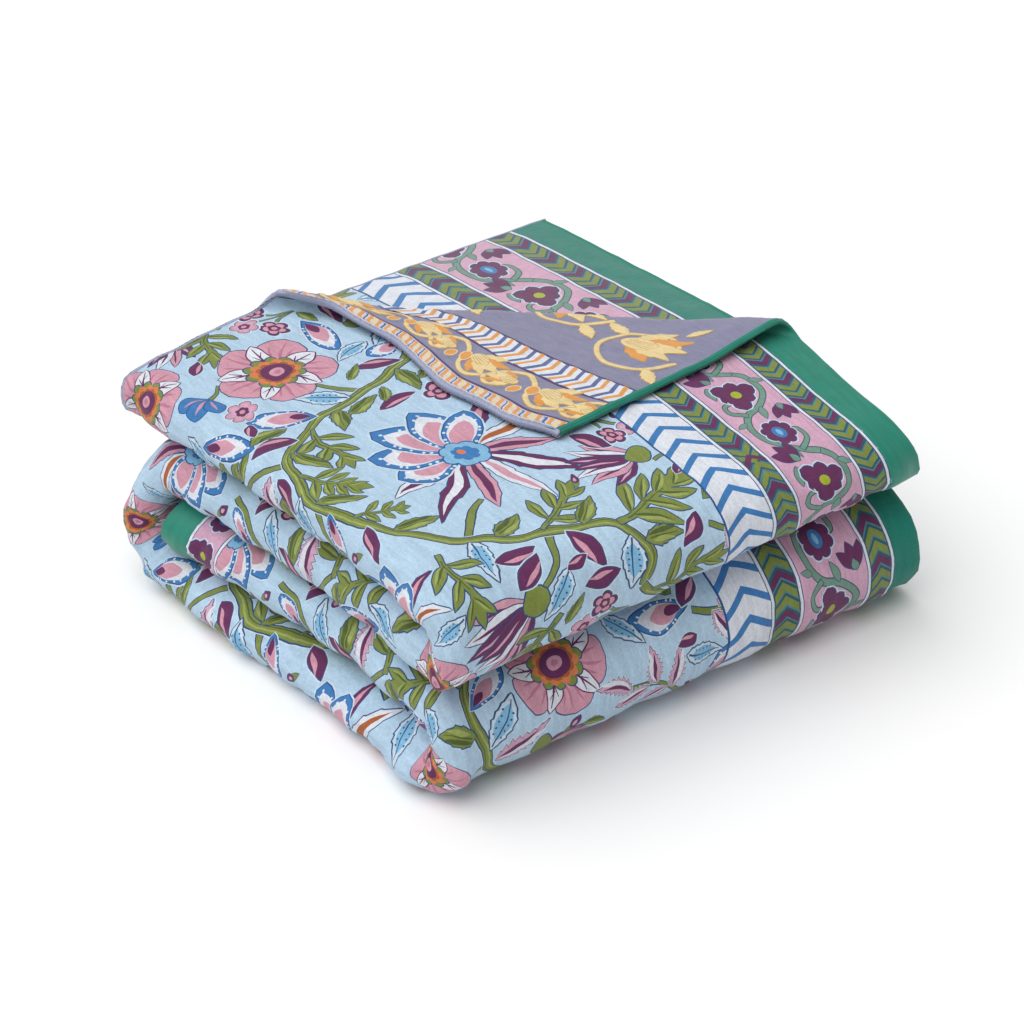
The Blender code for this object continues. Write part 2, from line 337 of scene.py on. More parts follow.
def moved(shapes, u=0.0, v=0.0, turn=0.0, size=1.0, mirror=False):
    """The shapes turned, resized and put at a place."""
    angle = math.radians(turn)
    turned = np.array(((math.cos(angle), math.sin(angle)), (-math.sin(angle), math.cos(angle)))) * size
    flip = np.array((1.0, -1.0 if mirror else 1.0))
    return [(dye, (outline * flip) @ turned + (u, v)) for dye, outline in shapes]


def grown(outline, by):
    """The outline pushed outwards all round."""
    following = np.roll(outline, -1, 0) - outline
    way = following / (np.linalg.norm(following, axis=1)[:, None] + 1e-9)
    area = np.sum(outline[:, 0] * np.roll(outline[:, 1], -1) - outline[:, 1] * np.roll(outline[:, 0], -1))
    out = np.stack([way[:, 1], -way[:, 0]], 1) * np.sign(area)
    corner = out + np.roll(out, 1, 0)
    corner /= np.maximum(np.linalg.norm(corner, axis=1), 0.55)[:, None]
    return outline + by * corner


def inked(shapes, line=0.8, ink="ink", halo=0.0):
    """The shapes with one ink line round all of them together, and outside it a pale edge as wide as halo."""
    drawn = [("halo", grown(outline, line + halo)) for _, outline in shapes] if halo else []
    return drawn + [(ink, grown(outline, line)) for _, outline in shapes] + shapes


def stem(dye, knots, start_width, end_width, line=0.8, ink="ink", halo=0.0, steps=10):
    """A stalk or a scroll through the knots, with its ink line."""
    return inked([(dye, ribbon(smooth_line(knots, steps), start_width, end_width))], line, ink, halo)


# ---------------- motifs of the field, each about its own origin

def cut_leaf(length=60.0, fingers=3):
    """A leaf cut into fingers, which grow from a stem along +x."""
    line = smooth_line([(0.0, 0.0), (0.35 * length, 0.05 * length), (0.7 * length, 0.0)])
    parts, veins = [("olive", ribbon(line, 0.05 * length, 0.07 * length))], []
    for k in range(fingers):
        place = (0.18 + 0.5 * k / (fingers - 1)) * length
        reach = (0.42 - 0.05 * k) * length
        vein = blade(0.8 * reach, 0.07 * reach, 0.4)
        streak = blade(0.7 * reach, 0.10 * reach, 0.45) + (0.1 * reach, 0.06 * reach)
        for side in (1.0, -1.0):
            where = (place, 0.02 * length, side * (52.0 - 9.0 * k))
            parts += moved([("olive", blade(reach, 0.33 * reach, 0.5))], *where)
            veins += moved([("olive light", streak), ("olive dark", vein)], *where)
    parts += moved([("olive", blade(0.42 * length, 0.15 * length, 0.45))], 0.6 * length, 0.0)
    return inked(parts, 0.9) + veins + [("olive dark", ribbon(line[3:-3], 1.1, 0.6))]


def plain_leaf(length=30.0, width=13.0):
    leaf = inked([("olive", toothed(length, width, 5, 0.42, 0.16))], 0.9)
    light = moved([("olive light", blade(0.62 * length, 0.26 * width))], 0.18 * length, 0.17 * width, 3.0)
    shade = moved([("olive dark", blade(0.8 * length, 0.26 * width))], 0.08 * length, -0.17 * width, -3.0)
    rib = smooth_line([(0.12 * length, 0.0), (0.5 * length, 0.04 * width), (0.85 * length, 0.0)])
    return leaf + light + shade + [("olive dark", ribbon(rib, 1.1, 0.4))]


def feather(length=46.0):
    """A leaf that is pink with combed teeth on one side and plum along its middle."""
    comb = toothed(length, 0.40 * length, 8, 0.38, 0.42)
    pale = moved([("white", blade(0.86 * length, 0.15 * length))], 0.05 * length, 0.02 * length, 4.0)
    plum = moved([("plum", blade(0.80 * length, 0.085 * length))], 0.03 * length, 0.0, -2.0)
    return inked([("blush", comb)], 0.8, halo=1.3) + pale + plum


def lily(length=52.0):
    """A bud of long petals, striped plum, white and pink."""
    petals = []
    for angle, share, dye in (
        (38.0, 0.80, "pink"), (-38.0, 0.80, "plum"), (24.0, 0.95, "white"), (-22.0, 0.95, "pink"),
        (11.0, 1.0, "plum"), (-9.0, 1.0, "white"), (1.0, 0.92, "plum"),
    ):
        petals += inked(moved([(dye, blade(share * length, 0.19 * length, 0.5))], turn=angle), 0.7)
        stripe = blade(0.6 * share * length, 0.035 * length, 0.5) + (0.3 * share * length, 0.0)
        petals += moved([("blush" if dye == "plum" else "plum", stripe)], turn=angle)
    cup = blade(0.36 * length, 0.34 * length, 0.4, 0.7)
    return moved(petals, 0.18 * length) + inked([("olive", cup)], 0.9)


def little_flower(radius=13.0, petals=5, outer="plum", inner="pink"):
    """A small open flower: scalloped petals, a paler ring and a dark heart."""
    drawn = inked([(outer, scalloped(radius, petals, 0.34, 8))], 0.7, halo=1.2)
    heart = scalloped(0.45 * radius, petals, 0.2, 6, 0.6)
    return drawn + [(inner, scalloped(0.80 * radius, petals, 0.42, 8)), ("plum", heart),
                    ("pink", disc(0.20 * radius, 9))]


def away(reach, turn):
    """The place at this distance from the origin, in this direction in degrees."""
    return reach * math.cos(math.radians(turn)), reach * math.sin(math.radians(turn))


def rosette(radius=36.0, petals=5):
    """A broad flower: pink petals, white pointed sepals between them, rings of olive, orange and plum, a pink
    heart."""
    petal = blade(radius, 0.92 * radius, 0.60, 0.42, 21)
    petal[5:-4:5, 1] *= 0.95
    sepal = inked([("white", blade(0.92 * radius, 0.34 * radius, 0.55, 0.7))], 0.9, "plum")
    for start, end, start_width, end_width in (
        ((0.3, 0.0), (0.84, 0.0), 1.9, 0.7), ((0.52, 0.0), (0.70, 0.10), 1.1, 0.5),
        ((0.44, 0.0), (0.62, -0.09), 1.1, 0.5),
    ):
        sepal.append(("plum", ribbon(np.array((start, end)) * radius, start_width, end_width)))
    drawn, between = [], []
    for k in range(petals):
        angle = 360.0 * k / petals
        drawn += moved(inked([("pink", petal)], 0.8), turn=angle)
        for lean, share in ((4.0, 0.66), (17.0, 0.54), (-15.0, 0.56)):
            crease = blade(share * radius, 0.06 * radius)
            drawn += moved([("rose", crease)], *away(0.3 * radius, angle + lean), angle + lean)
        between += moved(sepal, turn=angle + 180.0 / petals)
    rings = (("orange", scalloped(0.43 * radius, 2 * petals, 0.2, 7, 0.2)),
             ("rust", scalloped(0.34 * radius, 10, 0.12)), ("plum", disc(0.28 * radius, 20)),
             ("pink", disc(0.14 * radius, 14)), ("rose", disc(0.07 * radius, 9)))
    heart = inked([("olive", scalloped(0.50 * radius, 2 * petals, 0.22))], 0.8)
    return drawn + between + heart + list(rings)


def beaded(outer, beads, reach, size):
    """Beads along the inside of a petal's outline."""
    shares = [0.12 + 0.76 * k / (beads - 1) for k in range(beads)]
    places = [outer[int(share * len(outer)) % len(outer)] * reach for share in shares]
    return [("white", disc(size, 8) + place) for place in places]


def palmette(size=58.0):
    """The large fan flower: beaded blue petals with pink hearts, striped petals behind them, a blue eye."""
    drawn = []
    striped = (("plum", "pink"), ("white", "rust"), ("pink", "plum"), ("plum", "white"), ("white", "pink"),
               ("pink", "plum"), ("plum", "white"), ("white", "plum"))
    for k, (ground, stripe) in enumerate(striped):
        length = (1.18 + 0.16 * math.sin(2.3 * k)) * size
        petal = inked([(ground, toothed(length, 0.24 * size, 6, 0.55, 0.14))], 0.8)
        petal += moved([(stripe, blade(0.82 * length, 0.10 * size, 0.55))], 0.1 * size)
        drawn += moved(petal, turn=62.0 + 236.0 * (k + 0.5) / len(striped))
    for angle, share in ((-64.0, 0.82), (-32.0, 0.96), (0.0, 1.04), (32.0, 0.96), (64.0, 0.82)):
        petal = blade(share * size, 0.46 * size, 0.58, 0.62, 14)
        inside = moved([("white", 0.80 * petal), ("pink", 0.66 * petal)], 0.08 * size)
        beads = beaded(petal, 13, 0.90, 0.019 * size)
        drawn += moved(inked([("blue", petal)], 0.9, "deep blue", 1.2) + inside + beads, turn=angle)
    eye = inked([("aqua", scalloped(0.25 * size, 7, 0.15))], 1.0, "deep blue")
    eye += [("blue", scalloped(0.15 * size, 7, 0.2)), ("orange", disc(0.05 * size, 8) + (0.05 * size, 0.0))]
    return drawn + eye


def blue_sprig(length=44.0):
    """Three blue petals with pink streaks on an olive stalk."""
    drawn = stem("olive", [(0.0, 0.0), (0.2 * length, -2.0), (0.4 * length, 0.0)], 2.0, 3.0)
    for angle, share in ((42.0, 0.5), (6.0, 0.62), (-36.0, 0.5)):
        petal = inked([("blue", blade(share * length, 0.30 * length, 0.62, 0.7))], 0.8, "deep blue")
        petal += moved([("pink", blade(0.7 * share * length, 0.05 * length))], 0.06 * length)
        drawn += moved(petal, 0.38 * length, 0.0, angle)
    return drawn


def berry(radius=9.0):
    cap = moved([("olive", blade(1.6 * radius, 1.1 * radius, 0.4))], 0.4 * radius, 0.0, 15.0)
    drop = blade(2.0 * radius, 1.5 * radius, 0.6, 0.55) - (radius, 0.0)
    glint = ("blush", 0.45 * drop + (0.2 * radius, 0.1 * radius))
    return inked(cap, 0.8) + inked([("plum", drop)], 0.8) + [glint]


def orange_bud(length=24.0):
    drawn = inked([("orange", blade(length, 0.55 * length, 0.5, 0.7))], 0.8, halo=1.0)
    drawn += [("blush", blade(0.7 * length, 0.2 * length, 0.5))]
    return drawn + inked([("olive", blade(0.5 * length, 0.4 * length, 0.35) - (0.1 * length, 0.0))], 0.8)


def plum_leaf(length=34.0):
    streak = moved([("pink", blade(0.72 * length, 0.11 * length))], 0.14 * length, 0.05 * length, 5.0)
    return inked([("plum", blade(length, 0.38 * length, 0.45))], 0.8, halo=1.0) + streak


def beaded_leaf(length=46.0):
    """A blue leaf with a beaded white edge and a pink heart."""
    leaf = blade(length, 0.44 * length, 0.58, 0.7, 14)
    inside = moved([("white", 0.80 * leaf), ("pink", 0.62 * leaf), ("plum", 0.34 * leaf)], 0.08 * length)
    return inked([("blue", leaf)], 0.9, "deep blue", 1.0) + inside + beaded(leaf, 12, 0.90, 0.02 * length)


def hollow_leaf(length=38.0):
    """A pale leaf drawn in outline, with a rib and a row of fine dots to each side of it."""
    drawn = inked([("halo", toothed(length, 0.42 * length, 6, 0.45, 0.14))], 1.1)
    drawn += moved([("aqua", blade(0.7 * length, 0.3 * length))], 0.14 * length)
    for share in (0.25, 0.36, 0.47, 0.58, 0.69):
        drawn += [("ink", disc(0.8, 6) + (share * length, side * 0.09 * length)) for side in (1.0, -1.0)]
    rib = smooth_line([(0.05 * length, 0.0), (0.5 * length, 0.03 * length), (0.9 * length, 0.0)])
    return drawn + [("ink", ribbon(rib, 1.4, 0.6))]


def spray(length=56.0):
    """An olive twig with combed leaves to both sides."""
    bends = [(0.0, 0.0), (0.4 * length, 0.07 * length), (0.8 * length, 0.0), (length, -0.10 * length)]
    drawn = stem("olive", bends, 4.0, 2.2, 0.9)
    for along, across, angle, size, mirror in (
        (0.26, 0.06, 60.0, 0.70, False), (0.36, 0.03, -56.0, 0.74, True), (0.58, 0.05, 46.0, 0.68, True),
        (0.68, 0.0, -44.0, 0.66, False), (0.96, -0.09, -10.0, 0.72, False),
    ):
        drawn += moved(feather(), along * length, across * length, angle, size, mirror)
    return drawn


def posy(length=40.0):
    """Three little flowers on thin stalks."""
    drawn = []
    heads = ((0.72 * length, -0.36 * length), (length, 0.12 * length), (0.66 * length, 0.48 * length))
    for u, v in heads:
        drawn += stem("olive", [(0.0, 0.0), (0.5 * u, 0.25 * v), (u, v)], 2.2, 1.6)
    for (u, v), dyes in zip(heads, (("plum", "pink"), ("pink", "blush"), ("plum", "pink"))):
        drawn += moved(little_flower(0.27 * length, 5, *dyes), u, v)
    return drawn


def vine(knots, width=7.0):
    """A thick olive stem, lit along one side and dark along the other."""
    line = smooth_line(knots)
    drawn = inked([("olive", ribbon(line, width, width))], 1.1, halo=0.7)
    for dye, aside, share in (("olive light", (0.9, 1.0), 0.2), ("olive dark", (-1.6, -1.8), 0.12)):
        drawn.append((dye, ribbon(line[2:-2] + aside, share * width, share * width)))
    return drawn


MOTIFS = {
    "cut leaf": cut_leaf(), "long cut leaf": cut_leaf(84.0, 4), "plain leaf": plain_leaf(),
    "plum leaf": plum_leaf(), "beaded leaf": beaded_leaf(), "hollow leaf": hollow_leaf(), "spray": spray(),
    "feather": feather(), "lily": lily(), "rosette": rosette(), "palmette": palmette(), "posy": posy(),
    "blue sprig": blue_sprig(), "berry": berry(), "orange bud": orange_bud(),
    "little flower": little_flower(), "pink flower": little_flower(13.0, 6, "pink", "blush"),
}


# ---------------- the printed border, by its distance from an edge

GREEN_WIDTH = 1000.0 * STRIP_WIDTH
LINE = 4.4
FIRST_CHEVRONS = (GREEN_WIDTH + LINE, 68.0)
PINK_BAND = (68.0 + LINE, 140.0)
SECOND_CHEVRONS = (140.0 + LINE, 167.0)
WHITE_BAND = (167.0 + LINE, 215.0)
BORDER_WIDTH = 217.0
LINE_INK = 0.9
CHEVRONS = {"pitch": 10.0, "reach": 8.0}
BAR_SHARE, DARK_SHARE = 0.62, 0.84
BLUE_CHEVRONS = {"pitch": 21.0, "share": 0.30, "reach": 13.0}
SCROLL_LENGTH = 112.0
SCROLL_START = -30.0


def band(inner, outer, length, first=0.0):
    return np.array(((first, inner), (length, inner), (length, outer), (first, outer)))


def chevron(u, inner, outer, thick, reach):
    """One bar of a chevron band; its point is a reach further along than its ends."""
    middle, end = 0.5 * (inner + outer), u + thick
    front = ((u, inner), (u + reach, middle), (u, outer))
    return np.array(front + ((end, outer), (end + reach, middle), (end, inner)))


def chevron_band(inner, outer, length, dyes, flips, pitch, share, reach):
    """Bars in a repeat of dyes. At each of the flips they turn to point the other way along the band."""
    drawn = []
    for k in range(int(length / pitch) + 2):
        place = (k - 0.5) * pitch
        way = -1.0 if sum(place > flip for flip in flips) % 2 else 1.0
        wobble = 0.35 * math.sin(2.1 * k)
        start = place if way > 0.0 else place + share * pitch
        bar = chevron(start, inner, outer, way * share * pitch + wobble, way * reach)
        drawn.append((dyes[k % len(dyes)], bar))
    return drawn


def white_line(inner, length):
    middle = band(inner + LINE_INK, inner + LINE - LINE_INK, length)
    return [("ink", band(inner, inner + LINE, length)), ("white", middle)]


def star_flower(radius=19.0):
    """A plum flower of six uneven petals with a lime heart."""
    drawn = []
    for k in range(6):
        petal, size = blade(radius, 0.72 * radius, 0.62, 0.6, 9), 1.0 + 0.12 * math.cos(3.1 * k)
        drawn += moved([("plum", petal)], turn=60.0 * k + 6.0 * math.sin(2.0 * k), size=size)
    glint = ribbon(smooth_line([(0.45 * radius, 0.62 * radius), (0.75 * radius, 0.42 * radius)]), 1.3, 0.8)
    return inked(drawn, 0.8, halo=1.2) + [("white", glint), ("lime", disc(0.26 * radius, 12))]


def round_flower(radius=15.0):
    """A plum flower of small scallops with a blue heart."""
    heart = [("blue", disc(0.5 * radius, 14, 0.8)), ("aqua", 0.6 * disc(0.5 * radius, 10, 0.5))]
    return inked([("plum", scalloped(radius, 8, 0.18))], 0.8, halo=1.1) + heart


def split_flower(length=25.0):
    """A side view of a plum flower: three pointed petals on a green cup."""
    petals = []
    for angle in (-32.0, 0.0, 34.0):
        petals += moved([("plum", blade(length, 0.42 * length, 0.55))], turn=angle)
    return inked(petals, 0.8) + inked([("sage", blade(0.4 * length, 0.3 * length, 0.4))], 0.7)


def sage_leaf(length=21.0):
    return inked([("sage", blade(length, 0.4 * length, 0.45))], 0.8)


def scroll_repeat():
    """One repeat of the pink band's scroll, about the band's middle line."""
    drawn = []
    for start_width, end_width, knots in (
        (5.0, 5.0, ((0.0, -14.0), (10.0, -22.0), (30.0, -23.0), (44.0, -8.0), (52.0, 12.0), (68.0, 22.0),
                    (88.0, 20.0), (102.0, 4.0), (SCROLL_LENGTH, -14.0))),
        (4.2, 2.8, ((52.0, 12.0), (44.0, 24.0), (34.0, 22.0), (31.0, 13.0))),
        (4.2, 2.8, ((104.0, 0.0), (96.0, -14.0), (84.0, -15.0), (80.0, -6.0))),
    ):
        drawn += stem("sage", knots, start_width, end_width, 0.9, "deep teal")
    for motif, u, v, turn, size in (
        (sage_leaf, 12.0, -22.0, -60.0, 0.7), (sage_leaf, 46.0, -6.0, 20.0, 0.8),
        (sage_leaf, 60.0, 20.0, 70.0, 0.6), (sage_leaf, 96.0, 12.0, -20.0, 0.8),
        (sage_leaf, 6.0, 20.0, 10.0, 0.9), (sage_leaf, 66.0, -26.0, 160.0, 0.8),
        (split_flower, 2.0, 12.0, 150.0, 0.9), (split_flower, 50.0, -24.0, 10.0, 0.85),
        (star_flower, 24.0, 2.0, 15.0, 1.0), (round_flower, 80.0, 3.0, 0.0, 1.0),
    ):
        drawn += moved(motif(), u, v, turn, size)
    return drawn


def border(length, band_flips, blue_flips, scrolls):
    """The whole border from the green strip inwards: (u, distance from the edge)."""
    drawn = [("ink", band(GREEN_WIDTH, BORDER_WIDTH, length))]
    for (inner, outer), flips, dyes in ((FIRST_CHEVRONS, (), ("plum", "olive", "olive")),
                                        (SECOND_CHEVRONS, band_flips, ("olive", "olive", "plum"))):
        drawn.append(("teal", band(inner, outer, length)))
        drawn += chevron_band(inner, outer, length, ("deep teal",), flips, share=DARK_SHARE, **CHEVRONS)
        drawn += chevron_band(inner + 0.6, outer - 0.6, length, dyes, flips, share=BAR_SHARE, **CHEVRONS)
    drawn.append(("blush", band(*PINK_BAND, length)))
    repeat = scroll_repeat()
    for k in scrolls:
        drawn += moved(repeat, k * SCROLL_LENGTH + SCROLL_START, 0.5 * sum(PINK_BAND))
    drawn.append(("white", band(*WHITE_BAND, length)))
    drawn += chevron_band(*WHITE_BAND, length, ("blue",), blue_flips, **BLUE_CHEVRONS)
    for inner in (GREEN_WIDTH, FIRST_CHEVRONS[1], PINK_BAND[1], SECOND_CHEVRONS[1]):
        drawn += white_line(inner, length)
    return drawn + [("deep blue", band(WHITE_BAND[1], BORDER_WIDTH - 0.6, length))]


# ---------------- where everything is printed

FIELD_REPEAT = PRINT_LENGTH / 4.0
FAR_FOLD_V = 0.5 * (ACROSS_CHART[1][3] + ACROSS_CHART[1][4])
HALF_PRINT = 0.5 * PRINT_LENGTH
FIELD_LOW, FIELD_HIGH = 222.0, 732.0
STEM_HALF = 2.6
LEAF_SIZES, LEAF_LEAN, LEAF_OFF, LEAF_EVERY = (1.15, 0.9, 0.7), 54.0, 3.0, 3
FILLER_TRIES, FILLER_GAP = 420, 2.2
# A flip before the start makes all the bars up to the next one point backwards.
BEFORE_START = -100.0
BAND_FLIPS, BLUE_FLIPS = (400.0, HALF_PRINT), (BEFORE_START, HALF_PRINT)
TOP_SCROLLS, FOLD_SCROLLS = range(-1, 6), range(7, 15)
END_BAND = 36.0
END_FLOWERS, END_FLOWER_PITCH = 20.0, 34.0

VINES = (
    ((0, 300), (40, 266), (92, 258), (140, 288), (162, 345), (176, 402), (214, 448), (270, 462), (330, 446),
     (378, 408), (400, 352), (412, 306), (440, 288), (467, 300)),
    ((0, 566), (50, 524), (110, 518), (160, 548), (190, 604), (240, 646), (300, 648), (350, 606), (400, 566),
     (440, 556), (467, 566)),
)
STALKS = (
    ((162, 345), (146, 358), (128, 366)), ((378, 408), (356, 388), (338, 368)),
    ((92, 258), (100, 238), (124, 226)), ((214, 448), (196, 462), (178, 488)),
    ((400, 352), (424, 362), (440, 384)), ((270, 462), (288, 484), (312, 494)),
    ((190, 604), (160, 612), (138, 602)), ((350, 606), (330, 590), (316, 572)),
    ((400, 566), (416, 590), (420, 620)), ((50, 524), (40, 504), (38, 486)),
    ((240, 646), (236, 676), (216, 700)), ((300, 648), (322, 676), (352, 694)),
)
# Name, place, turn and size.
LARGE = (
    ("rosette", 90, 376, 12, 1.30), ("palmette", 282, 342, 152, 1.24), ("rosette", 36, 470, 50, 1.05),
    ("lily", 440, 380, 58, 1.25), ("long cut leaf", 178, 484, 62, 0.95), ("palmette", 384, 508, 200, 0.92),
    ("rosette", 288, 566, 20, 1.05), ("rosette", 104, 592, 30, 1.12), ("rosette", 424, 650, 0, 1.15),
    ("lily", 216, 698, 110, 1.0), ("lily", 124, 226, 0, 0.95), ("cut leaf", 352, 694, 40, 1.0),
)
# The discs that stand for a motif: how far along it each one lies, and its radius.
BODIES = {
    "cut leaf": ((18, 12), (40, 11)), "long cut leaf": ((24, 17), (56, 15)), "plain leaf": ((8, 5), (21, 5)),
    "feather": ((13, 8), (33, 8)), "lily": ((14, 8), (40, 17)), "little flower": ((0, 14),),
    "pink flower": ((0, 14),), "rosette": ((0, 35),), "palmette": ((0, 62),), "berry": ((0, 9), (14, 6)),
    "blue sprig": ((10, 4), (32, 13)), "orange bud": ((0, 6), (14, 7)), "plum leaf": ((9, 5), (23, 5)),
    "beaded leaf": ((13, 8), (31, 9)), "hollow leaf": ((10, 6), (26, 6)), "spray": ((26, 23), (60, 17)),
    "posy": ((10, 4), (33, 24)),
}
LEAVES = ("cut leaf", "plum leaf", "plain leaf", "spray", "long cut leaf", "hollow leaf", "plain leaf",
          "beaded leaf")
# Name, the most of them in a repeat, and size.
FILLERS = (
    ("spray", 4, 1.1), ("posy", 5, 1.1), ("lily", 5, 1.15), ("beaded leaf", 8, 1.15), ("cut leaf", 6, 1.15),
    ("blue sprig", 6, 1.1), ("feather", 4, 1.0), ("little flower", 8, 1.1), ("pink flower", 7, 1.1),
    ("hollow leaf", 8, 1.0), ("plum leaf", 16, 1.0), ("plain leaf", 16, 1.1), ("orange bud", 9, 1.05),
    ("berry", 10, 0.95), ("little flower", 12, 0.7), ("plum leaf", 16, 0.65), ("plain leaf", 26, 0.75),
    ("berry", 24, 0.62),
)


def body(name, u, v, turn, size):
    """The discs of a motif where it lies: their places and radii."""
    way = np.array(away(size, turn))
    return np.array([(*(way * along + (u, v)), size * radius) for along, radius in BODIES[name]])


def clear(taken, discs, gap):
    """Whether the discs keep this gap from those taken, also across the ends of the repeat."""
    apart = discs[:, None, :2] - taken[None, :, :2]
    apart[:, :, 0] = (apart[:, :, 0] + 0.5 * FIELD_REPEAT) % FIELD_REPEAT - 0.5 * FIELD_REPEAT
    return (np.hypot(apart[:, :, 0], apart[:, :, 1]) > discs[:, None, 2] + taken[None, :, 2] + gap).all()


def arranged():
    """One repeat's motifs: the large ones, leaves along the vines, then smaller ones in what is left."""
    placed = list(LARGE)
    lines = [smooth_line(knots) for knots in VINES]
    stems = np.vstack(lines + [smooth_line(stalk, 4) for stalk in STALKS])
    taken = [body(*motif) for motif in LARGE] + [np.column_stack([stems, np.full(len(stems), STEM_HALF)])]

    def fits(motif, gap):
        discs = body(*motif)
        fitting = clear(np.vstack(taken), discs, gap)
        if fitting:
            placed.append(motif)
            taken.append(discs)
        return fitting

    count = 0
    for line in lines:
        way = np.gradient(line, axis=0)
        for j in range(LEAF_EVERY, len(line) - LEAF_EVERY, LEAF_EVERY):
            side = 1.0 if count % 2 else -1.0
            turn = math.degrees(math.atan2(way[j, 1], way[j, 0])) + LEAF_LEAN * side
            name, start = LEAVES[count % len(LEAVES)], line[j] + away(LEAF_OFF, turn)
            for size in LEAF_SIZES:
                if fits((name, *start, turn, size), 0.0):
                    break
            count += 1
    draws = np.random.default_rng(23)
    for name, most, size in FILLERS:
        found = 0
        for _ in range(FILLER_TRIES):
            u, v = draws.uniform(0.0, FIELD_REPEAT), draws.uniform(FIELD_LOW, FIELD_HIGH)
            turn = draws.uniform(0.0, 360.0)
            if found < most and fits((name, u, v, turn, size), FILLER_GAP):
                found += 1
    return placed


def drawn_freely(outline):
    """The outline bent a little, as a block cut by hand leaves it. It repeats with the field."""
    u, v = outline[:, 0] * math.tau / FIELD_REPEAT, outline[:, 1] * math.tau / FIELD_REPEAT
    aside = 1.5 * np.sin(9.0 * v + 2.0 * np.sin(3.0 * u)) + 0.25 * np.sin(31.0 * v + 23.0 * u)
    along = 1.5 * np.sin(8.0 * u + 2.2 * np.sin(4.0 * v)) + 0.25 * np.sin(37.0 * u - 19.0 * v)
    return outline + np.stack([aside, along], 1)


def field():
    """Every repeat of the field between the first border and the one along the far fold."""
    drawn = []
    for stalk in STALKS:
        drawn += stem("olive", stalk, 5.0, 3.4, 1.0, halo=0.5, steps=6)
    for knots in VINES:
        drawn += vine(knots)
    for name, u, v, turn, size in arranged():
        drawn += moved(MOTIFS[name], u, v, turn, size)
    drawn = [(dye, drawn_freely(outline)) for dye, outline in drawn]
    return [shape for k in range(-1, 5) for shape in moved(drawn, k * FIELD_REPEAT)]


def mirrored(shapes, edge):
    """The shapes measured back from another edge."""
    return [(dye, outline * (1.0, -1.0) + (0.0, edge)) for dye, outline in shapes]


def face_print():
    """The field, the border along each edge, and at the last end a pink band between white lines."""
    edge_print, fold_print = (border(PRINT_LENGTH, BAND_FLIPS, BLUE_FLIPS, scrolls)
                              for scrolls in (TOP_SCROLLS, FOLD_SCROLLS))
    fold_print.append(("green", band(0.0, GREEN_WIDTH, PRINT_LENGTH)))
    end, near_border, far_border = PRINT_LENGTH - GREEN_WIDTH, BORDER_WIDTH, FAR_FOLD_V - BORDER_WIDTH
    end_print = [
        (dye, band(near_border, far_border, end - near, end - far)) for dye, near, far in (
            ("blush", 0.0, END_BAND), ("ink", END_BAND, 40.4), ("white", 36.9, 39.5), ("ink", -1.0, 3.4),
            ("white", -1.0, 2.6))
    ]
    for k, v in enumerate(np.arange(near_border + END_FLOWERS, far_border, END_FLOWER_PITCH)):
        flower = star_flower() if k % 2 else round_flower()
        end_print += moved(flower, end - 0.5 * END_BAND, v, 20.0 * k, 0.8)
    return field() + end_print + edge_print + mirrored(fold_print, FAR_FOLD_V)


# ---------------- the reverse: brushed cotton with woven stripes and scrolls

ROPE_BAND = (3.6, 18.0)
SCROLL_BAND = (20.0, 62.0)
ZIGZAG_BAND = (64.5, 92.0)
ZIGZAG = {"pitch": 8.5, "share": 0.46, "reach": 6.0}
STRIPE = 2.4
BRAID = 1.3
ROPE_PITCH = 4.4
WOVEN_LENGTH = 460.0
WOVEN_REPEAT, WOVEN_SCROLLS, WOVEN_START = 76.0, 6, -8.0
LOOP_REPEAT, LOOPS, LOOP_START = 92.0, 4, 16.0
FIRST_END_REACH = 534.0
INNER_PRINT = 470.0


def rope(length):
    """Orange and blue strokes that lean over each other, as a twisted cord looks."""
    drawn = []
    inner, outer = ROPE_BAND
    strands = (("amber", 3.0), ("cream", 2.2), ("amber", 3.0), ("slate", 1.6))
    for k in range(int(length / ROPE_PITCH)):
        dye, thick = strands[k % len(strands)]
        start, width = ROPE_PITCH * k, thick + 0.4 * math.sin(2.7 * k)
        knots = np.array(((0.0, inner), (4.5, inner + 3.0), (7.5, outer - 3.0), (12.0, outer))) + (start, 0.0)
        drawn.append((dye, ribbon(smooth_line(knots, 3), width, width)))
    for edge in (ROPE_BAND[0], ROPE_BAND[1] - BRAID):
        drawn += [("pale braid", band(edge, edge + BRAID, length))]
    return drawn


def woven(shapes):
    """The shapes outlined in straw-coloured thread."""
    return inked(shapes, 0.5, "straw")


def raised_flower(length=34.0):
    """A woven lily in cream and amber with a ribbed throat."""
    drawn = []
    for angle, share, dye in (
        (44.0, 0.8, "amber"), (-46.0, 0.8, "cream"), (22.0, 0.95, "cream"), (-20.0, 1.0, "amber"),
        (0.0, 1.0, "cream"),
    ):
        drawn += moved([(dye, toothed(share * length, 0.34 * length, 4, 0.5, 0.2))], turn=angle)
    throat = [("cream", blade(0.6 * length, 0.42 * length, 0.45, 0.7) - (0.1 * length, 0.0))]
    ribs = [np.array(((0.0, y), (0.42 * length, 1.6 * y))) for y in (-4.0, -2.0, 0.0, 2.0, 4.0)]
    return woven(drawn) + woven(throat) + [("straw", ribbon(rib, 0.7, 0.5)) for rib in ribs]


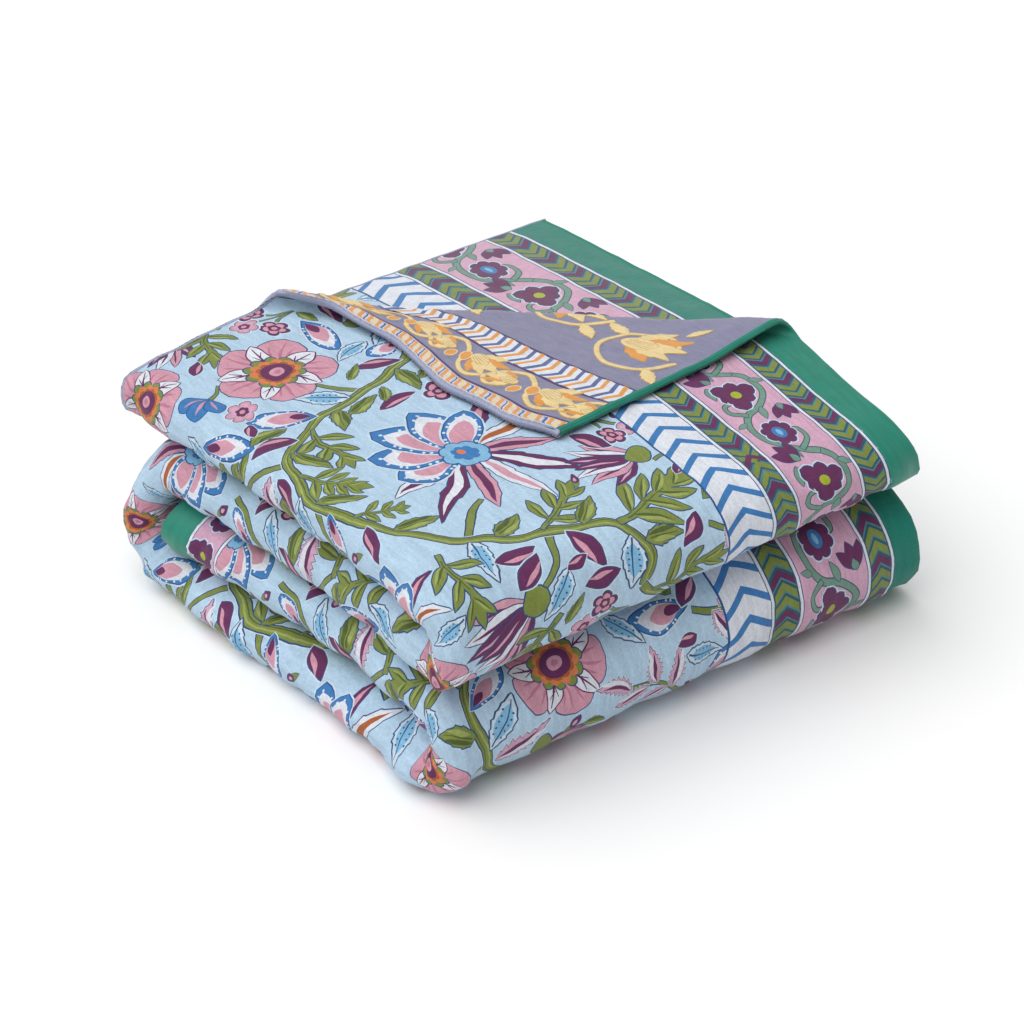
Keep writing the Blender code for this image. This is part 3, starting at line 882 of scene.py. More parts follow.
def woven_scroll():
    """One repeat of the cream scroll, about its band's middle line."""
    drawn = []
    for start_width, end_width, knots in (
        (4.0, 4.0, ((0.0, 12.0), (12.0, 17.0), (26.0, 8.0), (32.0, -8.0), (46.0, -17.0), (62.0, -10.0),
                    (68.0, 4.0), (WOVEN_REPEAT, 12.0))),
        (3.6, 2.4, ((32.0, -8.0), (22.0, -16.0), (12.0, -12.0), (12.0, -4.0))),
    ):
        drawn += stem("cream", knots, start_width, end_width, 0.5, "straw")
    drawn += moved(raised_flower(34.0), 60.0, 8.0, 190.0) + moved(raised_flower(25.0), 8.0, 0.0, -12.0)
    bud = inked([("amber", blade(15.0, 9.0, 0.5, 0.6))], 1.2, "cream")
    return drawn + moved(bud, 62.0, -6.0, 60.0) + moved(bud, 2.0, -14.0, 100.0, 0.8)


def looped_flower(turn):
    """A cream loop with a large flower at its end and leaves about it."""
    loop = ((0.0, 0.0), (14.0, -28.0), (44.0, -36.0), (70.0, -14.0), (66.0, 18.0), (38.0, 34.0), (16.0, 22.0))
    leaf = woven([("cream", toothed(30.0, 13.0, 5, 0.45, 0.2))])
    drawn = stem("cream", loop, 4.4, 3.4, 0.5, "straw") + moved(raised_flower(54.0), 58.0, 6.0, turn)
    for place in ((12.0, -24.0, 215.0), (66.0, 16.0, 20.0), (30.0, 44.0, 120.0, 0.8)):
        drawn += moved(leaf, *place)
    return drawn


def reverse_print():
    """Shapes as (along the end, distance from it), then turned so that the end edge is u = 0."""
    drawn = [("pale braid", band(*ROPE_BAND, PRINT_WIDTH))] + rope(WOVEN_LENGTH)
    for inner in (ROPE_BAND[1], SCROLL_BAND[1], ZIGZAG_BAND[1]):
        drawn += [("dark violet", band(inner, inner + STRIPE, PRINT_WIDTH))]
    for k in range(WOVEN_SCROLLS):
        drawn += moved(woven_scroll(), WOVEN_REPEAT * k + WOVEN_START, 0.5 * sum(SCROLL_BAND) + 0.6)
    drawn += [("white", band(*ZIGZAG_BAND, PRINT_WIDTH))]
    drawn += chevron_band(*ZIGZAG_BAND, WOVEN_LENGTH, ("amber", "slate"), (BEFORE_START,), **ZIGZAG)
    for k in range(LOOPS):
        drawn += moved(looped_flower(165.0 + 25.0 * k), LOOP_REPEAT * k + LOOP_START, 150.0 + 30.0 * (k % 2))
    drawn = [(dye, outline[:, ::-1]) for dye, outline in drawn]
    near = [shape for shape in field() if (shape[1].max(0) < (FIRST_END_REACH, INNER_PRINT)).all()]
    inner_ply = [("sky", band(0.0, INNER_PRINT, FIRST_END_REACH))] + near
    inner_ply.append(("green", band(0.0, GREEN_WIDTH, FIRST_END_REACH)))
    inner_ply += border(FIRST_END_REACH, (BEFORE_START,), (BEFORE_START,), range(-1, 5))
    return drawn + mirrored(inner_ply, PRINT_WIDTH)


# ---------------- cutting the cloth along its print

# Stretches of the flat cloth, in metres from its first end or its first side, that hold what shows.
TOP_LIMB, TOP_PLY = 0.49, 0.51
ROLL = (0.43, 0.51)
FAR_FOLD = (0.915, 0.955)
OUTER_PLIES = (0.49, 0.955)
WRAP, LOWER_FOLD = (0.78, 0.95), (1.25, 1.35)
FLAP = (0.345, 0.39)
CURL_SIDES = (-0.02, 0.035)
SEEN_FROM_END, SEEN_FROM_SIDE = 0.045, 0.022
LARGEST_MOTIF = 200.0


def within(place, stretch):
    return (place > stretch[0]) & (place < stretch[1])


def on_curves(s, w):
    """The rolls, the far fold, and the smooth folds and wrap of the outer plies."""
    on_outer = within(w, OUTER_PLIES) & (within(s, WRAP) | within(s, LOWER_FOLD))
    return within(w, ROLL) | within(w, FAR_FOLD) | on_outer


def under_flap(s, w):
    """The turned corner's printed face and the cloth that it lies on, away from its edges and its curl."""
    past = CORNER_WAY[0] * (TOP_EDGE_X - w) + CORNER_WAY[1] * (FIRST_END_Y - s) - CORNER_FROM
    across = np.where(past < 0.0, 2.0 * past - math.pi * CORNER_RADIUS, 0.0)
    from_end, from_side = s + CORNER_WAY[1] * across, w + CORNER_WAY[0] * across
    away_from_curl = (past <= CURL_SIDES[0]) | (past > CURL_SIDES[1])
    return (from_end > SEEN_FROM_END) & (from_side > SEEN_FROM_SIDE) & away_from_curl


def face_shows(s, w):
    on_top = (s < TOP_LIMB) & (w < TOP_PLY)
    hidden = under_flap(s, w) & (s < 0.34) & (w < 0.40)
    return (on_top & ~hidden) | on_curves(s, w)


def reverse_shows(s, w):
    beneath = (s < 0.34) & (w > WIDTH - 0.36)
    return (s < FLAP[0]) & (w < FLAP[1]) | beneath


def curl_points(step):
    """Points along lines parallel to the turned corner's curl."""
    rows = np.linspace(-CURL_NEARER - 0.001, math.pi * CORNER_RADIUS + 0.001, 17)
    w = np.arange(0.0, FLAP[1], step)
    past, w = (grid.ravel() for grid in np.meshgrid(rows, w))
    s = FIRST_END_Y - (CORNER_FROM + past - CORNER_WAY[0] * (TOP_EDGE_X - w)) / CORNER_WAY[1]
    return s, w


def cloth_points(shows, first, last, left, right, fine, coarse):
    """Points of the flat cloth, close together where it shows and wide apart in the hidden plies."""
    found = []
    for step, wanted in ((fine, True), (coarse, False)):
        s, w = np.meshgrid(np.linspace(first, last, int((last - first) / step)),
                           np.linspace(left, right, int((right - left) / step)))
        s, w = s.ravel(), w.ravel()
        keep = shows(s, w) == wanted
        found.append((s[keep], w[keep]))
    found.append(curl_points(fine))
    s, w = np.concatenate([part[0] for part in found]), np.concatenate([part[1] for part in found])
    inside = (s > first + 1e-4) & (s < last - 1e-4) & (w > left + 1e-4) & (w < right - 1e-4)
    return to_print(ALONG_CHART, s[inside]), to_print(ACROSS_CHART, w[inside])


def divided(outline, shows, fine, coarse):
    """The outline with its long sides cut into steps, so that it can follow the cloth round its folds."""
    following = np.roll(outline, -1, 0)
    lengths = np.linalg.norm(following - outline, axis=1)
    if lengths.max() <= fine:
        return outline
    parts = []
    rarely = int(coarse / fine)
    for start, end, length in zip(outline, following, lengths):
        share = np.linspace(0.0, 1.0, max(int(length / fine), 1), endpoint=False)[:, None]
        steps = start + (end - start) * share
        if len(steps) > 2 * rarely:
            seen = shows(to_cloth(ALONG_CHART, steps[:, 0]), to_cloth(ACROSS_CHART, steps[:, 1]))
            steps = steps[seen | (np.arange(len(steps)) % rarely == 0)]
        parts.append(steps)
    return np.vstack(parts)


def thinned(outline, tolerance=0.05):
    """The outline without the points that lie this close to the line between their neighbours."""
    for turn in (0, 1):
        before, after = np.roll(outline, 1, 0), np.roll(outline, -1, 0)
        way, arm = after - before, outline - before
        off = np.abs(way[:, 0] * arm[:, 1] - way[:, 1] * arm[:, 0]) / (np.linalg.norm(way, axis=1) + 1e-9)
        needed = (off > tolerance) | (np.arange(len(outline)) % 2 == turn)
        if needed.sum() < 4:
            break
        outline = outline[needed]
    return outline


def covered(places, outline):
    """Which of these places lie inside the outline."""
    inside = np.zeros(len(places), bool)
    for (u0, v0), (u1, v1) in zip(outline, np.roll(outline, -1, 0)):
        if v0 != v1:
            crosses = (v0 > places[:, 1]) != (v1 > places[:, 1])
            inside ^= crosses & (places[:, 0] < u0 + (u1 - u0) * (places[:, 1] - v0) / (v1 - v0))
    return inside


def triangle_edges(triangles):
    """The triangles' edges as sorted pairs, each once, and the numbers of each triangle's three edges."""
    pairs = np.sort(np.concatenate([triangles[:, pair] for pair in ((0, 1), (1, 2), (2, 0))]), axis=1)
    keys, index = np.unique(pairs[:, 0] * (triangles.max() + 1) + pairs[:, 1], return_inverse=True)
    return np.stack(np.divmod(keys, triangles.max() + 1), 1), index.reshape(3, -1).T


def sides(triangles):
    """For each edge, the triangles to both sides of it (the second is -1 at the rim)."""
    edges, of_triangle = triangle_edges(triangles)
    order = np.argsort(of_triangle.ravel(), kind="stable")
    edge, owner = of_triangle.ravel()[order], order // 3
    first = np.searchsorted(edge, np.arange(len(edges)))
    second = np.full(len(edges), -1)
    twice = np.bincount(edge, minlength=len(edges)) > 1
    second[twice] = owner[first[twice] + 1]
    return edges, owner[first], second


def cut_once(shapes, shows, points, low, high, fine, coarse):
    """Triangles cut along every outline that shows, with the topmost shape on each."""
    corners = np.array([(low[0], low[1]), (high[0], low[1]), (high[0], high[1]), (low[0], high[1])])
    rim = divided(corners, shows, fine, coarse)
    places = [Vector(corner) for corner in rim] + [Vector(pair) for pair in zip(*points)]
    kept, edges = [], [(j, (j + 1) % len(rim)) for j in range(len(rim))]
    for k, (_, outline) in enumerate(shapes):
        outside = (outline.max(0) < low).any() or (outline.min(0) > high).any()
        s, w = to_cloth(ALONG_CHART, outline[:, 0]), to_cloth(ACROSS_CHART, outline[:, 1])
        small = np.ptp(outline, axis=0).max() < LARGEST_MOTIF
        if outside or (small and not shows(s, w).any()):
            continue
        outline = divided(thinned(outline), shows, fine, coarse)
        inside = ((outline >= low) & (outline <= high)).all(1)
        start = len(places)
        count = len(outline)
        kept.append((k, outline))
        places.extend(Vector(pair) for pair in np.clip(outline, low, high))
        sides_of = ((j, (j + 1) % count) for j in range(count))
        edges += [(start + j, start + after) for j, after in sides_of if inside[j] or inside[after]]
    made = delaunay_2d_cdt(places, edges, [], 0, 1e-4, False)
    flat = np.array([tuple(place) for place in made[0]])
    triangles = np.array(made[2])
    middle = flat[triangles].mean(1)
    inside = ((middle > low) & (middle < high)).all(1)
    triangles, middle = triangles[inside], middle[inside]
    order = np.argsort(middle[:, 0])
    triangles, middle = triangles[order], middle[order]
    topmost = np.full(len(triangles), -1)
    for k, outline in kept:
        begin, end = np.searchsorted(middle[:, 0], (outline[:, 0].min(), outline[:, 0].max()))
        near = begin + np.flatnonzero((middle[begin:end, 1] > outline[:, 1].min())
                                      & (middle[begin:end, 1] < outline[:, 1].max()))
        topmost[near[covered(middle[near], outline)]] = k
    return flat, triangles, topmost


def cut_cloth(shapes, shows, points, first, last, left, right, fine=6.0, coarse=24.0):
    """Triangles of the flat cloth, cut along its print, and the topmost shape on each (or -1). The cloth is
    cut twice: along all outlines, and then along only those pieces of them where the dye changes."""
    low = np.array((to_print(ALONG_CHART, first), to_print(ACROSS_CHART, left)))
    high = np.array((to_print(ALONG_CHART, last), to_print(ACROSS_CHART, right)))
    flat, triangles, topmost = cut_once(shapes, shows, points, low, high, fine, coarse)
    dyes = np.unique([dye for dye, _ in shapes] + [""], return_inverse=True)[1]
    edges, one, other = sides(triangles)
    changes = (other < 0) | (dyes[topmost[one]] != dyes[topmost[other]])
    edges, one, other = edges[changes], one[changes], other[changes]
    used, index = np.unique(edges, return_inverse=True)
    places = [Vector(pair) for pair in flat[used]] + [Vector(pair) for pair in zip(*points)]
    made = delaunay_2d_cdt(places, index.reshape(-1, 2).tolist(), [], 0, 1e-5, True)
    start, way = flat[edges[:, 0]], flat[edges[:, 1]] - flat[edges[:, 0]]

    def left_of(edge, place):
        arm = place - start[edge]
        return way[edge, 0] * arm[:, 1] - way[edge, 1] * arm[:, 0] > 0.0

    numbers = np.arange(len(edges))
    one_left = left_of(numbers, flat[triangles[one]].mean(1))
    on_left = np.where(one_left, topmost[one], topmost[other])
    on_right = np.where(one_left, topmost[other], topmost[one])
    flat, triangles = np.array([tuple(place) for place in made[0]]), np.array(made[2])
    middle = flat[triangles].mean(1)
    pairs, one, other = sides(triangles)
    barrier = np.full(len(pairs), -1)
    size = triangles.max() + 1
    keys = pairs[:, 0] * size + pairs[:, 1]
    given = [(min(pair) * size + max(pair), source[0]) for pair, source in zip(made[1], made[4]) if source]
    where = np.searchsorted(keys, [key for key, _ in given])
    barrier[where] = [source for _, source in given]
    found = np.full(len(triangles), -2)
    for triangle in (one, other):
        beside = (barrier >= 0) & (triangle >= 0)
        edge, near = barrier[beside], triangle[beside]
        found[near] = np.where(left_of(edge, middle[near]), on_left[edge], on_right[edge])
    joined = (barrier < 0) & (other >= 0)
    one, other = one[joined], other[joined]
    while True:
        ahead = (found[one] > -2) & (found[other] == -2)
        back = (found[other] > -2) & (found[one] == -2)
        if not (ahead | back).any():
            break
        found[other[ahead]] = found[one[ahead]]
        found[one[back]] = found[other[back]]
    return flat, triangles, np.maximum(found, -1)


# ---------------- colours and materials

DYES = {
    "sky": "#B1CCE1", "halo": "#C6D7E4", "ink": "#2F4C78", "olive": "#7B8841", "olive dark": "#4F5F2E",
    "olive light": "#98A45C", "plum": "#642C58", "pink": "#CC95A6", "rose": "#B8768F", "blush": "#CDA2BA",
    "white": "#D9DDE6", "blue": "#3B78B4", "deep blue": "#22548F", "aqua": "#7FB4D6", "orange": "#D57C50",
    "rust": "#A65C30", "lime": "#A3B033", "sage": "#6F9382", "teal": "#4A7F8E", "deep teal": "#2C5665",
    "green": "#17796A", "lavender": "#7F7E9B", "dark violet": "#46325F", "cream": "#E2C98F",
    "straw": "#B3935A", "amber": "#DB9440", "slate": "#4D6094", "pale braid": "#C4C8D6",
}
BINDING_GREEN = "#1A7F6B"
TAPE_GREY = "#A3A9C2"
PAPER_WHITE = "#F4F4F4"
COTTON_IOR = 1.47


def linear(colour):
    """An sRGB hex colour as the linear values that a shader takes."""
    channels = [int(colour[k:k + 2], 16) / 255.0 for k in (1, 3, 5)]
    return tuple(c / 12.92 if c <= 0.04045 else ((c + 0.055) / 1.055) ** 2.4 for c in channels) + (1.0,)


def add(tree, kind, inputs=None, **settings):
    """Adds a node with its settings, and links or sets its inputs."""
    made = tree.nodes.new(kind)
    for name, value in settings.items():
        setattr(made, name, value)
    for name, value in (inputs or {}).items():
        if isinstance(value, bpy.types.NodeSocket):
            tree.links.new(value, made.inputs[name])
        else:
            made.inputs[name].default_value = value
    return made


def fabric(name, roughness, sheen, sheen_roughness, specular, colour=None):
    """A cloth's material, its nodes and its bare shader, its place on the flat cloth, and its colour: the
    print's dyes, or the one that is given."""
    material = bpy.data.materials.new(name)
    material.use_nodes = True
    tree = material.node_tree
    tree.nodes.clear()
    shader = add(tree, "ShaderNodeBsdfPrincipled", {
        "Roughness": roughness, "Sheen Weight": sheen, "Sheen Roughness": sheen_roughness, "IOR": COTTON_IOR,
        "Specular IOR Level": specular})
    output = add(tree, "ShaderNodeOutputMaterial", {"Surface": shader.outputs["BSDF"]})
    output.is_active_output = True
    place = add(tree, "ShaderNodeAttribute", attribute_name="place").outputs["Vector"]
    if colour is None:
        dye = add(tree, "ShaderNodeAttribute", attribute_name="dye").outputs["Color"]
    else:
        dye = add(tree, "ShaderNodeRGB").outputs[0]
        dye.default_value = linear(colour)
    return material, tree, shader, place, dye


def finished(material, shader, colour, bumps):
    """The material with its colour and its bumps: height, strength and depth in metres, coarsest first."""
    tree, below = material.node_tree, {}
    for height, strength, depth in bumps:
        inputs = {"Height": height, "Strength": strength, "Distance": depth, **below}
        below = {"Normal": add(tree, "ShaderNodeBump", inputs).outputs[0]}
    tree.links.new(colour, shader.inputs["Base Color"])
    tree.links.new(below["Normal"], shader.inputs["Normal"])
    return material


def weave(tree, place, pitch_mm, slub):
    """Crossing threads with uneven thickness: a height from 0 to 1."""
    turns = math.tau * 1000.0 / pitch_mm
    spread = add(tree, "ShaderNodeTexNoise", {"Vector": place, "Scale": 260.0, "Detail": 2.0})
    uneven = add(tree, "ShaderNodeVectorMath", {0: spread.outputs["Color"], "Scale": slub}, operation="SCALE")
    shifted = add(tree, "ShaderNodeVectorMath", {0: place, 1: uneven.outputs[0]}, operation="ADD")
    apart = add(tree, "ShaderNodeSeparateXYZ", {0: shifted.outputs[0]})
    waves = []
    for axis in ("X", "Y"):
        phase = add(tree, "ShaderNodeMath", {0: apart.outputs[axis], 1: turns}, operation="MULTIPLY")
        waves.append(add(tree, "ShaderNodeMath", {0: phase.outputs[0]}, operation="SINE").outputs[0])
    crossed = add(tree, "ShaderNodeMath", {0: waves[0], 1: waves[1]}, operation="MULTIPLY")
    return add(tree, "ShaderNodeMapRange", {"Value": crossed.outputs[0], "From Min": -1.0}).outputs[0]


def creased(tree, place, scale, detail, stretch=(1.0, 1.0, 1.0), roughness=0.5):
    """The height of soft creases or of patches, scale of them to the metre, from 0 to 1."""
    mapped = add(tree, "ShaderNodeMapping", {"Vector": place, "Scale": stretch}).outputs[0]
    noise = {"Vector": mapped, "Scale": scale, "Detail": detail, "Roughness": roughness}
    return add(tree, "ShaderNodeTexNoise", noise).outputs[0]


def shaded(tree, colour, height, low, high, ends=(0.0, 1.0)):
    """The colour times low where the height is at its lower end, and times high where it is at its upper."""
    amount = add(tree, "ShaderNodeMapRange", {
        "Value": height, "From Min": ends[0], "From Max": ends[1], "To Min": low, "To Max": high}).outputs[0]
    return add(tree, "ShaderNodeVectorMath", {0: colour, "Scale": amount}, operation="SCALE").outputs[0]


def mottled(tree, colour, place, scale, low, high, stretch=(1.0, 1.0, 1.0)):
    """The colour made lighter and darker in patches, as a dye takes unevenly."""
    return shaded(tree, colour, creased(tree, place, scale, 4.0, stretch, 0.6), low, high, (0.3, 0.7))


def printed_cotton():
    """Block-printed cotton percale over wadding: plain weave, matt with a slight bloom, and the dye patchy
    where the block pressed."""
    material, tree, shader, place, dye = fabric("printed cotton percale", 0.82, 0.12, 0.5, 0.28)
    brushed = mottled(tree, dye, place, 120.0, 0.87, 1.09, (0.35, 1.6, 1.0))
    patchy = mottled(tree, brushed, place, 420.0, 0.88, 1.09)
    speckled = mottled(tree, patchy, place, 1300.0, 0.90, 1.08)
    # Percale has about 0.25 mm between its threads; 0.9 mm is the finest that the render shows.
    threads = weave(tree, place, 0.9, 0.0004)
    creases = creased(tree, place, 85.0, 4.0, (1.0, 0.55, 1.0), 0.55)
    # The colour is darkened between the weave's threads and lightened a little on them: painted shade and a
    # painted highlight at the scale of the threads, on top of their bump.
    return finished(material, shader, shaded(tree, speckled, threads, 0.93, 1.03),
                    ((creases, 0.55, 0.0026), (threads, 0.25, 0.00012)))


def brushed_reverse():
    """Brushed cotton jacquard: a soft nap that scatters light at the edges, flecked lavender, the figure in
    thicker thread."""
    material, tree, shader, place, dye = fabric("brushed cotton jacquard", 0.95, 0.35, 0.6, 0.15)
    patchy = mottled(tree, dye, place, 160.0, 0.88, 1.08, (1.4, 0.5, 1.0))
    flecked = mottled(tree, patchy, place, 900.0, 0.86, 1.12)
    # The jacquard's thick threads are about 0.6 mm apart; 1.1 mm is the finest that the render shows.
    threads = weave(tree, place, 1.1, 0.0006)
    nap = creased(tree, place, 340.0, 3.0)
    return finished(material, shader, flecked, ((nap, 0.45, 0.0008), (threads, 0.3, 0.0002)))


def green_sateen():
    """Mercerised cotton sateen binding: emerald, a soft sheen along the folds, and a fine close weave."""
    material, tree, shader, place, dye = fabric("emerald cotton sateen", 0.55, 0.25, 0.4, 0.4, BINDING_GREEN)
    patchy = mottled(tree, dye, place, 90.0, 0.88, 1.10, (0.5, 2.0, 1.0))
    # Sateen has about 0.2 mm between its threads; 0.9 mm is the finest that the render shows.
    threads = weave(tree, place, 0.9, 0.0003)
    creases = creased(tree, place, 60.0, 3.0)
    # The colour is darkened between the weave's threads and lightened a little on them: painted shade and a
    # painted highlight at the scale of the threads, on top of their bump.
    return finished(material, shader, shaded(tree, patchy, threads, 0.95, 1.03),
                    ((creases, 0.3, 0.0015), (threads, 0.2, 0.0001)))


def grey_tape():
    """Woven cotton tape over cord: pale blue-grey with white flecks, ribbed across its length, quite matt."""
    material, tree, shader, place, dye = fabric("pale grey cotton tape", 0.9, 0.2, 0.5, 0.2, TAPE_GREY)
    flecked = mottled(tree, dye, place, 700.0, 0.80, 1.18)
    # The tape's ribs are about 1.2 mm apart.
    ribs = weave(tree, place, 1.2, 0.0006)
    # The colour is darkened between the ribs and lightened a little on them: painted shade and a painted
    # highlight at the scale of the ribs, on top of their bump.
    return finished(material, shader, shaded(tree, flecked, ribs, 0.9, 1.05), ((ribs, 0.5, 0.0003),))


# ---------------- the pieces

RIPPLES = np.random.default_rng(11)
RIPPLE_COUNT = 34
RIPPLE_LENGTH = RIPPLES.uniform(0.013, 0.040, RIPPLE_COUNT)
RIPPLE_WAY = RIPPLES.uniform(0.0, math.pi, RIPPLE_COUNT)
RIPPLE_PHASE = RIPPLES.uniform(0.0, math.tau, RIPPLE_COUNT)
LONGEST_RIPPLE = 0.04
RIPPLE_HEIGHT, MORE_ON_ROLLS, SHARE_ON_FOLDS = 0.00010, 0.00012, 0.4
ROLL_W, SMOOTH_FOLD_S = 0.47, (0.432, 1.30)
OFF_ROLL, OFF_FOLD = (0.01, 0.05), (0.02, 0.05)

RAISED = ("cream", "amber")
RAISED_BY = 0.0007


def relief(s, w):
    """Soft puckers of the quilted cloth, in metres, stronger over the rolls and the smooth folds."""
    u = to_print(ALONG_CHART, s) / 1000.0
    v = to_print(ACROSS_CHART, w) / 1000.0
    height = np.zeros(s.shape)
    for length, way, phase in zip(RIPPLE_LENGTH, RIPPLE_WAY, RIPPLE_PHASE):
        turns = math.tau * (u * math.cos(way) + v * math.sin(way)) / length
        height += (length / LONGEST_RIPPLE) * np.sin(turns + phase)
    from_fold = np.minimum(*(np.abs(s - fold) for fold in SMOOTH_FOLD_S))
    rolls, folds = 1.0 - fade(np.abs(w - ROLL_W), *OFF_ROLL), 1.0 - fade(from_fold, *OFF_FOLD)
    return height * (RIPPLE_HEIGHT + MORE_ON_ROLLS * np.maximum(rolls, SHARE_ON_FOLDS * folds))


def lie(s, w, offset):
    """Where points of the flat cloth lie on the floor, the lowest roll spread as the weight leaves it."""
    place = folded(s, w, offset) + MOVE
    x, y, z = place.T
    length = fade(y, *LOWEST_BACK) * fade(-y, *LOWEST_NEAR)
    place[:, 0] -= LOWEST_SPREAD * length * fade(-z, *LOWEST_DOWN) * fade(-x, *LOWEST_LEFT)
    place[:, 2] = np.maximum(place[:, 2], 0.0)
    return place


def unit(vectors, least=1e-12):
    return vectors / (np.linalg.norm(vectors, axis=-1, keepdims=True) + least)


def surface(s, w, side):
    """Points of one face of the cloth (side 1 is printed, -1 the reverse), with their outward normals."""
    def at(s, w):
        return lie(s, w, side * (0.5 * thickness(s, w) + relief(s, w)))
    step = 0.0006
    along = at(s + step, w) - at(s - step, w)
    across = at(s, w + step) - at(s, w - step)
    return at(s, w), unit(-side * np.cross(along, across))


def face_ways(points, faces):
    """The way that each face looks, as long as twice its area."""
    return np.cross(points[faces[:, 1]] - points[faces[:, 0]], points[faces[:, 2]] - points[faces[:, 0]])


def mesh_normals(points, faces, outward):
    """Normals of the vertices from the faces round them, turned to the side that outward gives."""
    ways = face_ways(points, faces)
    ways *= np.sign((ways * outward[faces].sum(1)).sum(1))[:, None]
    ways = unit(ways, 1e-15)
    found = np.zeros_like(points)
    for k in range(3):
        np.add.at(found, faces[:, k], ways)
    return unit(found)


def make_piece(name, points, faces, normals, places, material, dyes=None, chart=None):
    """A mesh object with smooth given normals, its place on the cloth in metres and, on the print, its dyes.
    A chart is its UV map."""
    back = (face_ways(points, faces) * normals[faces].sum(1)).sum(1) < 0.0
    faces = np.where(back[:, None], faces[:, ::-1], faces)
    mesh = bpy.data.meshes.new(name)
    mesh.from_pydata(points.tolist(), [], faces.tolist())
    mesh.polygons.foreach_set("use_smooth", np.ones(len(faces), bool))
    place = mesh.attributes.new("place", "FLOAT_VECTOR", "POINT")
    place.data.foreach_set("vector", places.astype(np.float32).ravel())
    if dyes is not None:
        dye = mesh.color_attributes.new("dye", "FLOAT_COLOR", "CORNER")
        dye.data.foreach_set("color", np.repeat(dyes, 3, 0).astype(np.float32).ravel())
    if chart is not None:
        unwrapped = mesh.uv_layers.new(name="OFBake")
        unwrapped.data.foreach_set("uv", chart[faces.ravel()].astype(np.float32).ravel())
    mesh.normals_split_custom_set_from_vertices(normals.tolist())
    piece = bpy.data.objects.new(name, mesh)
    piece.data.materials.append(material)
    bpy.context.scene.collection.objects.link(piece)
    return piece


def printed_side(name, shapes, ground, shows, side, edges, material, steps, map_knots):
    """One face of the quilted panel, cut along its print. The knots give more of its UV map to what shows."""
    flat, triangles, topmost = cut_cloth(shapes, shows, cloth_points(shows, *edges, *steps), *edges)
    s, w = to_cloth(ALONG_CHART, flat[:, 0]), to_cloth(ACROSS_CHART, flat[:, 1])
    places = np.column_stack([flat / 1000.0, np.zeros(len(flat))])
    dyes = [dye for dye, _ in shapes] + [ground]
    where, normals = surface(s, w, side)
    thick = np.isin(np.array(dyes)[topmost], RAISED)
    if thick.any() and side < 0.0:
        stands = np.zeros(len(flat), bool)
        stands[np.unique(triangles[thick])] = True
        raised = where + normals * RAISED_BY * stands[:, None]
        level = mesh_normals(where, triangles, normals)
        where, normals = raised, unit(normals + mesh_normals(raised, triangles, normals) - level, 0.0)
    table = np.array([linear(DYES[dye]) for dye in dyes])
    chart = np.column_stack([np.interp(flat[:, k], *zip(*knots)) for k, knots in enumerate(map_knots)])
    return make_piece(name, where, triangles, normals, places, material, table[topmost], chart)


def rounded_edge(reach_face, reach_back, proud):
    """The section of an edge piece: how far in from the edge, and the offset from the middle as a share of
    half the thickness, then how proud it stands."""
    half = 0.5 * EDGE_SHARE * PLY
    tuck, lip, bevel = 0.0004, 0.3 * proud, 0.0006
    section = [(reach_face + tuck, 1.0, -bevel), (reach_face, 1.0, lip), (reach_face - bevel, 1.0, proud)]
    flat_run = np.linspace(reach_face - 0.003, half, max(int(reach_face / 0.005), 2))
    section += [(inward, 1.0, proud) for inward in flat_run]
    for angle in np.linspace(80.0, -80.0, 9):
        turn = math.radians(angle)
        section.append((half * (1.0 - math.cos(turn)), math.sin(turn), proud * math.sin(turn)))
    section += [(half, -1.0, proud), (reach_back - bevel, -1.0, proud), (reach_back, -1.0, lip)]
    return section + [(reach_back + tuck, -1.0, -bevel)]


def edge_piece(name, section, run, to_sheet, material):
    """A strip or a piping: its section carried along the cloth's edge. to_sheet gives s and w from the run
    and the inset."""
    rows, columns = len(run), len(section)
    runs, k = (grid.ravel() for grid in np.meshgrid(run, np.arange(columns), indexing="ij"))
    inset, share, proud = np.array(section)[k].T
    s, w = to_sheet(runs, inset)
    half = 0.5 * thickness(s, w) + relief(s, w)
    points = lie(s, w, share * half + np.sign(share) * proud).reshape(rows, columns, 3)
    normals = unit(np.cross(np.gradient(points, axis=0), np.gradient(points, axis=1)))
    middle = lie(s, w, np.zeros(len(s))).reshape(rows, columns, 3)
    if ((points - middle) * normals).sum() < 0.0:
        normals = -normals
    index = np.arange(rows * columns).reshape(rows, columns)
    a, b, c, d = (part.ravel() for part in (index[:-1, :-1], index[1:, :-1], index[1:, 1:], index[:-1, 1:]))
    ends = [(ring[0], ring[j], ring[j + 1]) for ring in (index[0], index[-1]) for j in range(1, columns - 1)]
    faces = np.vstack([np.column_stack([a, b, c]), np.column_stack([a, c, d]), ends])
    places = np.column_stack([runs, inset + 0.01 * share, np.zeros(rows * columns)])
    return make_piece(name, points.reshape(-1, 3), faces, normals.reshape(-1, 3), places, material)


TUCK = 0.0008
STRIP_PROUD, PIPING_PROUD = 0.0005, 0.0007
STRIP_BACK = 0.006
PIPING_SHOWN = 0.0036
TOP_REACH = 0.476
PANEL_EDGES, REVERSE_EDGES = (
    (PIPING_SHOWN - TUCK, LENGTH - strip + TUCK, strip - TUCK, WIDTH - strip + TUCK)
    for strip in (STRIP_WIDTH, STRIP_BACK))
FACE_STEPS, REVERSE_STEPS = (0.0058, 0.026), (0.0052, 0.024)

